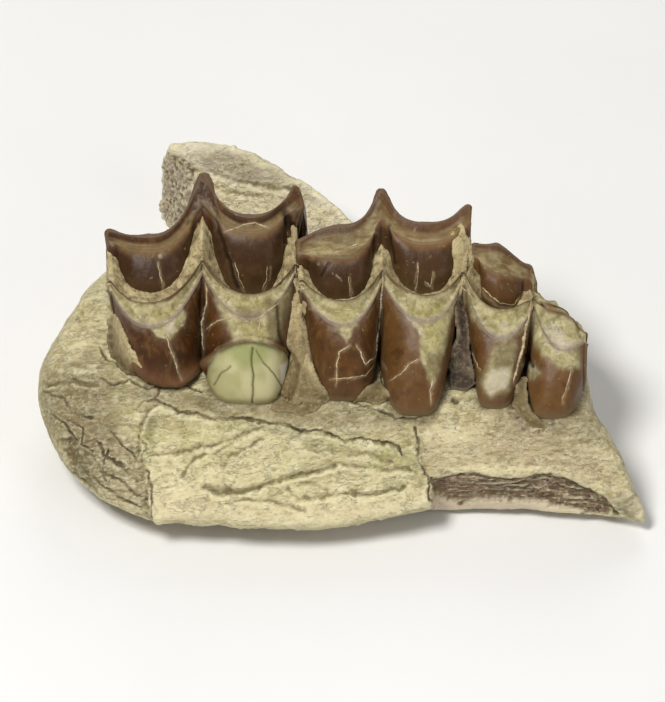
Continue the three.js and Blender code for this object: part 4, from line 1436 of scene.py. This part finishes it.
# Grime and painted shade: darker patches under the molars and along the broken edges.
GRIME_AND_SHADE = [
    ([(190, 392), (205, 398), (225, 412), (262, 420), (300, 424), (320, 440), (290, 436), (240, 424),
      (196, 408)], 8),
    ([(60, 440), (72, 470), (84, 484), (92, 460), (80, 440)], 10),
    ([(205, 484), (240, 488), (262, 484), (240, 496), (212, 494)], 7),
    ([(148, 410), (140, 425), (150, 440), (158, 420)], 8),
    ([(345, 398), (420, 418), (440, 410), (430, 425), (380, 420)], 8),
    ([(618, 494), (632, 500), (642, 528), (628, 532), (614, 516)], 8),
]
# Patches of the bone that the photograph's side shows, and the ones that are tones too.
BONE_PATCHES = {
    "broken": [(BROKEN_RIGHT, 6)],
    "plate": [(PLATE, 2.5)],
    "lip": [(WHITE_LIP, 4)],
    "layered": [(BROKEN_LEFT, 7)],
    "tuberosity_brown_and_shade": [(TUBEROSITY, 24)],
    "spongy": [(SPONGY_END, 5)],
    "tip": [(ROUGH_TIP, 8)],
    "green": [(GREEN_BONE, 40)],
    "pale": [(PALE_BONE, 40), (LIGHT_LIP, 12)],
    "dark": BONE_PAINTED_SHADE,
    "light": BONE_PAINTED_LIGHT,
    "grime_and_shade": GRIME_AND_SHADE,
}
BONE_TONES = ("broken", "lip", "red", "layered", "tuberosity_brown_and_shade", "green", "pale", "dark", "light", "grime_and_shade")
# Heights and depths of the bone's relief, in millimetres.
FLAKE_RISE = 0.19
FIBRE_RISE = 0.28
BROKEN_DEPTH = 0.5
LIP_RISE = 0.1
ARCH_RISE = 0.3
TORN_RISE = 0.42
TORN_DEPTH = 0.35
PORE_SIZE = 0.65
PORE_DEPTH = 0.3


def root_plugs():
    """Closed stubs that fill the sockets, so that the bone reaches the enamel."""
    plugs = bmesh.new()
    for name in MOLARS:
        parts, _, _ = station_at(name, np.linspace(0, 1, PLUG_COLUMNS))
        neck = parts["neck"][:, 0] - PLUG_INSET
        back = parts["back"][:, 0] + PLUG_INSET
        x = parts["x"][:, 0]
        outline = list(zip(x, neck)) + list(zip(x[::-1], back[::-1]))
        rings = []
        for z in (PLUG_FOOT, GUM - 0.2):
            ring = to_row(np.array([(a, b, z) for a, b in outline]))
            rings.append([plugs.verts.new(p) for p in ring])
        low, high = rings
        for k in range(len(low)):
            n = (k + 1) % len(low)
            plugs.faces.new((low[k], low[n], high[n], high[k]))
        plugs.faces.new(low[::-1])
        plugs.faces.new(high)
    bmesh.ops.recalc_face_normals(plugs, faces=plugs.faces)
    mesh = bpy.data.meshes.new("plugs")
    plugs.to_mesh(mesh)
    plugs.free()
    return mesh


def merged_copy(node):
    """A welded copy of a node's mesh, to work on."""
    copy = bmesh.new()
    copy.from_mesh(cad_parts[node].data)
    bmesh.ops.remove_doubles(copy, verts=copy.verts, dist=1e-6)
    return copy


def remeshed(name, copy, voxel, passes):
    """A piece of even, smooth mesh from a working mesh."""
    mesh = bpy.data.meshes.new(name)
    copy.to_mesh(mesh)
    copy.free()
    piece = bpy.data.objects.new(name, mesh)
    bpy.context.scene.collection.objects.link(piece)
    even = piece.modifiers.new("even", "REMESH")
    even.mode = "VOXEL"
    even.voxel_size = voxel / 1000
    smooth = piece.modifiers.new("smooth", "SMOOTH")
    smooth.factor = 0.5
    smooth.iterations = passes
    return settle(piece)


def points_of(mesh):
    flat = np.empty(len(mesh.vertices) * 3)
    mesh.vertices.foreach_get("co", flat)
    return to_carving(flat.reshape(-1, 3))


def split_where(mesh, wanted):
    """Splits the edges between points that are wanted, by points, normals and length in mm."""
    fine = bmesh.new()
    fine.from_mesh(mesh)
    fine.verts.ensure_lookup_table()
    points = to_carving(np.array([v.co for v in fine.verts]))
    normals = np.array([v.normal for v in fine.verts])
    chosen, longest = wanted(points, normals)
    edges = [
        e for e in fine.edges
        if chosen[e.verts[0].index] and chosen[e.verts[1].index] and e.calc_length() > longest / 1000
    ]
    bmesh.ops.subdivide_edges(fine, edges=edges, cuts=1, use_grid_fill=True)
    bmesh.ops.triangulate(fine, faces=[f for f in fine.faces if len(f.verts) > 4])
    fine.to_mesh(mesh)
    fine.free()


def in_view(points, normals):
    """Where the mesh faces the eye of the photograph, which wants twice the detail."""
    return (normals @ AWAY < 0.05) & (points[:, 2] > 0.8), 0.25


def near_cracks(points, normals):
    pixels = pixels_of(points)
    near = np.full(len(points), 1e9)
    for line, _, _ in PALATE_CRACKS_AND_SHADE_LINES:
        near = np.minimum(near, distance_to_line(pixels, line))
    return (near < 4) & (normals @ AWAY < 0.1), 0.14


def ridged(points, size, seed):
    """Sharp crests between rounded hollows, from -1 to 1."""
    return 1 - 3 * np.abs(layered(points, size, seed))


def terraces(field, steps):
    """A field from -1 to 1 turned into flat steps with short slopes between."""
    level = field * steps
    floor = np.floor(level)
    return (floor + ease(0, 0.25, level - floor)) / steps


def closeness(points, surfaces, reach):
    """How near each point is to the nearest of some surfaces, from 0 at a reach in mm to 1."""
    near = np.zeros(len(points))
    for k in np.flatnonzero(points[:, 2] > GUM - 3):
        found = [tree.find_nearest(Vector(points[k]), reach) for tree in surfaces]
        gap = min([reach] + [hit[3] for hit in found if hit[3] is not None])
        near[k] = 1 - gap / reach
    return near


def bone_relief(points, pixels, flow, shares, seen):
    """Height over the plain bone, in millimetres, and how open its pores are."""
    broken, spongy, tip = (shares[key] for key in ("broken", "spongy", "tip"))
    rough = 0.35 + 0.65 * ease(-0.2, 0.5, layered(points, 6, 87))
    relief = 0.2 * layered(points, (6, 4, 4), 51) + 0.1 * layered(flow, (3.0, 1.4, 1.4), 53)
    relief += rough * FLAKE_RISE * terraces(layered(flow, (3.5, 1.6, 1.6), 55), 5)
    relief += rough * (1 - shares["lip"]) * 0.06 * ridged(flow, (1.6, 0.6, 0.6), 57)
    relief += 0.035 * layered(flow, (0.6, 0.4, 0.4), 59)
    fibres = layered(flow, (6.0, 0.35, 0.3), 61) * (1 - 0.7 * shares["red"])
    fibres += 0.3 * shares["red"] * layered(points, 0.8, 62)
    relief += broken * (FIBRE_RISE * fibres - BROKEN_DEPTH) + LIP_RISE * shares["lip"]
    relief += PLATE_RISE * shares["plate"] + ARCH_RISE * shares["arch"]
    torn = TORN_RISE * terraces(layered(flow, (3.4, 1.5, 1.5), 63), 4) + 0.16 * layered(points, 0.8, 64)
    relief += shares["layered"] * (torn - TORN_DEPTH) + tip * 0.3 * layered(points, 1.0, 69)
    pits = 1 - ease(0.15, 0.5, pores(flow, PORE_SIZE, 3)) + 0.8 * layered(points, 0.6, 67)
    pits = np.clip(pits, 0, 1)
    relief -= spongy * (PORE_DEPTH * pits + 0.1)
    uneven = 0.6 + 0.75 * layered(points, 1.4, 65)
    crack, crack_depth = line_share(pixels, PALATE_CRACKS_AND_SHADE_LINES)
    fold, fold_depth = line_share(pixels, PALATE_FOLDS)
    ledges = [
        ([(x, y + FOLD_LEDGE) for x, y in line], 3.5, 0.9 * depth)
        for line, _, depth in PALATE_FOLDS
    ]
    _, roll = line_share(pixels, PALATE_ROLLS + ledges)
    relief += (roll - crack_depth - 1.5 * fold_depth) * seen * np.clip(uneven, 0, 1.2)
    marks = {
        "crack": np.clip(crack * seen * uneven * 1.2, 0, 1),
        "fold": np.clip(fold * seen * uneven, 0, 1),
        "spongy": np.clip(spongy * (0.72 + 0.28 * pits), 0, 1),
    }
    return relief * ease(0.2, 1.5, points[:, 2]), marks


def make_bone(teeth):
    """The maxilla: folded palate, broken edges, spongy arch, and painted shade where it meets teeth."""
    body = merged_copy("maxilla")
    body.from_mesh(root_plugs())
    piece = remeshed("maxilla_bone", body, VOXEL, 6)
    mesh = piece.data
    split_where(mesh, in_view)
    split_where(mesh, near_cracks)
    faces = [list(p.vertices) for p in mesh.polygons]
    edges = edges_of(faces)
    points = blurred(points_of(mesh), edges, 3)
    normals, faces = normals_of(points, faces)
    bends = [layered(points, 2.5, seed) for seed in (91, 93, 95)]
    flow = points + 0.8 * np.stack(bends, axis=1)
    pixels = wandered(points, pixels_of(points), 1.6, 3.0, 41)
    pixels = wandered(points, pixels, 0.45, 2.0, 45)
    seen = ease(0.0, 0.2, -(normals @ AWAY))

    shares = {key: patch_share(pixels, patches) * seen for key, patches in BONE_PATCHES.items()}
    shares["arch"] = ease(21.5, 23.5, points[:, 1])
    shares["lip"] = shares["lip"] * (1 - shares["broken"])
    shares["red"] = patch_share(pixels, [(RED_END, 10)]) * shares["broken"]
    hollow = 0.7 * patch_share(pixels, [(SPONGY_HOLLOW, 7)]) * (1 - shares["arch"])
    shares["spongy"] = np.maximum(shares["spongy"] * ease(15, 18, points[:, 1]), hollow)
    relief, marks = bone_relief(points, pixels, flow, shares, seen)

    moved = points + relief[:, None] * normals
    moved[:, 2] = np.maximum(moved[:, 2], 0)
    normals, faces = normals_of(moved, faces)
    # Painted shade on the bone where it comes near the teeth.
    contact_shade = closeness(moved, teeth, 0.8) * np.clip(0.7 + 0.5 * layered(points, 1.2, 97), 0, 1)
    masks = {key: shares[key] for key in BONE_TONES} | marks | {
        "contact_shade": contact_shade,
        "chalky": np.maximum(shares["arch"], 0.5 * shares["tip"]),
        "hollow": hollowness(moved, normals, edges, 5, 0.09),
        "valley": hollowness(moved, normals, edges, 40, 0.45),
    }
    redraw(piece, moved, faces, masks, BONE)
    finish_piece(piece, "bone", "maxilla")
    return moved, faces


# Rock between and on the teeth. In a molar's pit the rock climbs by shares of the pit's
# two walls: at the back end, the back lobe, the notch, the front lobe and the front end.
PIT_ROCK = {
    "molar_3": {"near": (0.95, 0.8, 1.0, 0.1, 0.7), "far": (0.95, 0.42, 1.12, 0.1, 0.8)},
    "molar_2": {"near": (0.95, 0.5, 0.85, 0.4, 0.95), "far": (0.85, 0.26, 0.75, 0.22, 0.95)},
    "molar_1": {"near": (0.9, 0.25, 0.9, 0.1, 0.1), "far": (0.85, 0.2, 0.5, 0.1, 0.1)},
}
CLIMB = 3.0
PIT_OVERHANG = 0.45
PIT_ROWS = 26
PIT_COLUMNS = 180
PIT_FROM, PIT_TO = 0.004, 0.996
PIT_TUCK = (-0.25, 0.4)
PIT_SAG = 0.12
PIT_SAG_MOST = 0.35
PIT_UNDER = 0.2
PIT_SIDES = 5
PIT_END_DIP = 1.5
WEDGE_VOXEL = 0.15
WEDGE_SWELL = 0.45
WEDGE_SHIFT_AT_DOME = 0.8
WEDGE_DIP_AT_DOME = 0.3
WEDGES = ("rock_between_molars_3_2", "rock_between_molars_2_1")
DARK_WEDGES = ("rock_between_molars_2_1",)
# Lumps of rock seen in the photograph: the outline in its pixels, how far the lump stands
# out in millimetres, and its finish.
LUMPS = {
    "strip_between_molars_3_2": ([(287, 236), (294, 232), (300, 246), (305, 262), (309, 290), (307, 320),
                                  (294, 322), (296, 296), (289, 270)], 0.25, ROCK),
    "foot_between_molars_3_2": ([(291, 300), (303, 296), (308, 345), (318, 372), (330, 398), (318, 412),
                                 (296, 418), (268, 410), (278, 396), (288, 378), (290, 350)], 0.35, ROCK),
    "mass_between_molars_2_1": ([(450, 226), (462, 222), (472, 238), (476, 262), (466, 280), (463, 300),
                                 (454, 300), (452, 262)], 0.3, ROCK),
    "crevice_between_molars_2_1": ([(452, 300), (463, 292), (468, 320), (472, 352), (478, 384),
                                    (470, 394), (448, 392), (450, 360), (454, 330)], -0.1, DARK_ROCK),
    "triangle_on_molar_2": ([(379, 371), (385, 384), (392, 398), (380, 406), (350, 402), (362, 390),
                             (372, 380)], 0.2, ROCK),
    "lump_behind_molar_3": ([(106, 318), (116, 312), (126, 334), (138, 358), (147, 373), (126, 377),
                             (108, 356)], 0.4, ROCK),
    "crust_on_molar_1": ([(514, 386), (522, 376), (529, 380), (530, 396), (534, 412), (552, 422),
                          (544, 434), (524, 430), (512, 408)], 0.05, ROCK),
}
LUMP_STEP = 1.3
LUMP_SINK = 1.0
LUMP_RIM_DIP = 0.25


def add_rock(name, points, faces, depth, low, finish, *nodes):
    """A piece of rock, with dirt and painted shade in hollows of a depth in millimetres, and dark where it
    is low.
    """
    normals, faces = normals_of(points, faces)
    masks = {"hollow": hollowness(points, normals, edges_of(faces), 6, depth), "low": low}
    piece = piece_from(name, points, faces, masks)
    piece.data.materials.append(finish)
    finish_piece(piece, "rock", *nodes)


def climb_at(shares, t):
    """The share of a pit wall that rock covers, at shares t of the way along a molar."""
    shares = np.array(shares)
    place = np.minimum(t * 2, 1.999999)
    lobe = np.floor(place).astype(int)
    u = (place - lobe) * 2 - 1
    end = np.where(u < 0, shares[lobe * 2], shares[lobe * 2 + 2])
    return mix(shares[lobe * 2 + 1], end, np.abs(u) ** CLIMB)


def make_pit_rock(molar):
    """Tan rock in a molar's pit, climbing between its cusps at the notch and ends."""
    node = "rock_in_" + molar
    t = np.linspace(PIT_FROM, PIT_TO, PIT_COLUMNS)
    s, _, _ = station_at(molar, t)
    near, far = (climb_at(PIT_ROCK[molar][key], t)[:, None] for key in ("near", "far"))
    tongue_x, cheek_x = s["x"][:, 1], s["x"][:, 2]
    pit, inner, rise = s["pit"], s["inner"], s["rise"]
    middle_x = mix(tongue_x, cheek_x, 0.5)
    near_top = mix(pit - [PIT_HALF, 0], inner, near) + [PIT_TUCK[0], 0]
    far_top = mix(pit + [PIT_HALF, 0], rise, far) + [PIT_TUCK[1], 0]
    share = np.linspace(0, 1, PIT_ROWS)[:, None, None]
    top = mix(near_top[None], far_top[None], share)
    sag = np.sin(np.pi * share[:, :, 0]) * PIT_SAG * np.linalg.norm(far_top - near_top, axis=1)
    top[:, :, 1] -= np.minimum(sag, PIT_SAG_MOST)
    x = mix(tongue_x, cheek_x, share[:, :, 0])
    upper = np.stack([x, top[:, :, 0], top[:, :, 1]], axis=2)
    floor = np.stack([middle_x, pit[:, 0], pit[:, 1] - PIT_UNDER], axis=1)[None]
    sides = np.linspace(0, 1, PIT_SIDES)[:, None, None]
    lower = mix(upper[-1:], floor, sides[1:])
    back_up = mix(floor, upper[:1], sides[1:-1])
    rings = np.concatenate([upper, lower, back_up]).transpose(1, 0, 2)
    count = rings.shape[1]
    ends = []
    for ring, way in ((rings[0], -1), (rings[-1], 1)):
        beyond = ring + [way * PIT_OVERHANG, 0, 0]
        beyond[PIT_ROWS:, 2] -= PIT_END_DIP
        ends.append(beyond)
    rings = np.concatenate([ends[:1], rings, ends[1:]])
    points = np.concatenate([rings.reshape(-1, 3), [rings[0].mean(axis=0), rings[-1].mean(axis=0)]])
    faces = tube_faces(len(rings), count)
    normals, faces = normals_of(points, faces)
    relief = 0.2 * layered(points, 1.2, 71) + 0.09 * layered(points, 0.45, 73)
    moved = points + relief[:, None] * normals
    add_rock(node.replace("rock", "matrix"), moved, faces, 0.05, np.zeros(len(moved)), ROCK, node)


def make_wedge(node):
    """A crumbly wedge of rock between two molars, sunk into the bone and the enamel."""
    piece = remeshed(node.replace("rock", "matrix"), merged_copy(node), WEDGE_VOXEL, 8)
    points = points_of(piece.data)
    faces = [list(p.vertices) for p in piece.data.polygons]
    normals, faces = normals_of(points, faces)
    relief = WEDGE_SWELL + 0.2 * layered(points, 1.8, 75) + 0.05 * layered(points, 0.5, 77)
    at_dome = ease(-12, 4, depth_in_patch(pixels_of(points), DOME))
    relief -= (WEDGE_SWELL + WEDGE_DIP_AT_DOME) * at_dome
    points = points + WEDGE_SHIFT_AT_DOME * at_dome[:, None] * ACROSS
    moved = points + relief[:, None] * normals
    normals, faces = normals_of(moved, faces)
    masks = {
        "hollow": hollowness(moved, normals, edges_of(faces), 6, 0.05),
        "low": 1 - ease(14, 20, moved[:, 2]),
    }
    redraw(piece, moved, faces, masks, DARK_ROCK if node in DARK_WEDGES else ROCK)
    finish_piece(piece, "rock", node)


def spanned(surfaces, outline, grid):
    """Depth along each sight line of a skin stretched over an outline on the surfaces."""
    outline = np.array(outline, float)
    rim = np.concatenate([
        mix(outline, np.roll(outline, -1, axis=0), share) for share in (0, 0.25, 0.5, 0.75)
    ])
    held, depths = [], []
    for pixel in rim:
        place = mark_surface(surfaces, pixel)
        if place is not None:
            held.append(pixel)
            depths.append(np.linalg.norm(place - EYE))
    held, depths = np.array(held), np.array(depths)
    near = np.quantile(depths, 0.8)
    depths = np.minimum(depths, near)
    gaps = ((grid[:, None] - held[None]) ** 2).sum(axis=2) + 4.0
    weights = 1 / gaps**1.5
    return (weights * depths).sum(axis=1) / weights.sum(axis=1)


def make_lump(name, surfaces, outline, height, finish):
    """A crumbly lump of rock whose outline is drawn on the photograph."""
    low, high = np.min(outline, axis=0) - 2, np.max(outline, axis=0) + 2
    across = np.arange(low[0], high[0], LUMP_STEP)
    down = np.arange(low[1], high[1], LUMP_STEP)
    grid = np.stack(np.meshgrid(across, down), axis=2).reshape(-1, 2)
    across_mm = np.column_stack([grid / PIXELS_PER_MM, np.zeros(len(grid))])
    inside = depth_in_patch(wandered(across_mm, grid, 1.4, 4.0, 83), outline)
    number = np.arange(len(grid)).reshape(len(down), len(across))
    corners = [number[:-1, :-1], number[:-1, 1:], number[1:, 1:], number[1:, :-1]]
    cells = np.stack(corners, axis=2).reshape(-1, 4)
    cells = cells[(inside[cells] > 0).all(axis=1)]
    used = np.unique(cells)
    lookup = np.full(len(grid), -1)
    lookup[used] = np.arange(len(used))
    cells = lookup[cells]
    grid, inside = grid[used], inside[used]
    sight = np.array([sight_line(pixel) for pixel in grid])
    depth = spanned(surfaces, outline, grid)
    skin = np.array(EYE) + sight * depth[:, None]
    rise = height * (1 - np.exp(-inside / 4)) - LUMP_RIM_DIP * np.exp(-inside / 1.5)
    rise += 0.14 * layered(skin, 1.1, 79) + 0.05 * layered(skin, 0.4, 81)
    top = skin - sight * rise[:, None]
    count = len(used)
    points = np.concatenate([top, skin + sight * LUMP_SINK])
    sides = np.sort(np.concatenate([cells[:, [k, (k + 1) % 4]] for k in range(4)]), axis=1)
    edges, seen_times = np.unique(sides, axis=0, return_counts=True)
    rim = {tuple(e) for e in edges[seen_times == 1]}
    faces = cells.tolist() + (cells[:, ::-1] + count).tolist()
    for cell in cells.tolist():
        for a, b in zip(cell, cell[1:] + cell[:1]):
            if (min(a, b), max(a, b)) in rim:
                faces.append([b, a, a + count, b + count])
    add_rock(name, points, faces, 0.06, 1 - ease(13.5, 17, points[:, 2]), finish)


# Floor and light.
FLOOR_SIZE = 1.6
SKY_COLOUR = (0.9, 0.92, 1.0, 1)
SKY_STRENGTH = 0.26
# Each light's name, place in metres, size in metres and power in watts.
LIGHTS = (
    ("key", (-0.14, -0.14, 0.42), 0.14, 2.0),
    ("fill", (0.38, -0.28, 0.30), 0.35, 0.55),
    ("rim", (0.06, 0.40, 0.32), 0.30, 0.7),
)


def make_floor():
    mesh = bpy.data.meshes.new("floor")
    half = FLOOR_SIZE / 2
    corners = [(-half, -half, 0), (half, -half, 0), (half, half, 0), (-half, half, 0)]
    mesh.from_pydata(corners, [], [(0, 1, 2, 3)])
    floor = bpy.data.objects.new("floor", mesh)
    bpy.context.scene.collection.objects.link(floor)
    mesh.materials.append(floor_finish())


def make_lights():
    world = bpy.data.worlds.new("studio")
    world.use_nodes = True
    sky = world.node_tree.nodes["Background"].inputs
    sky["Color"].default_value = SKY_COLOUR
    sky["Strength"].default_value = SKY_STRENGTH
    bpy.context.scene.world = world
    for name, place, size, power in LIGHTS:
        light = bpy.data.lights.new(name, "AREA")
        light.shape = "DISK"
        light.size = size
        light.energy = power
        lamp = bpy.data.objects.new(name, light)
        lamp.location = place
        lamp.rotation_mode = "QUATERNION"
        lamp.rotation_quaternion = Vector(place).to_track_quat("Z", "Y")
        bpy.context.scene.collection.objects.link(lamp)
    bpy.context.scene.view_settings.view_transform = "Standard"


surfaces = []
for molar_name in MOLARS:
    molar_points, molar_faces = make_molar(molar_name)
    surfaces.append(BVHTree.FromPolygons(molar_points.tolist(), molar_faces))
    make_veins(molar_name, surfaces[-1])
    make_pit_rock(molar_name)
bone_points, bone_faces = make_bone(surfaces)
surfaces.append(BVHTree.FromPolygons(bone_points.tolist(), bone_faces))
for wedge in WEDGES:
    make_wedge(wedge)
for lump_name, (lump_outline, lump_height, lump_finish) in LUMPS.items():
    make_lump(lump_name, surfaces, lump_outline, lump_height, lump_finish)
make_floor()
make_lights()
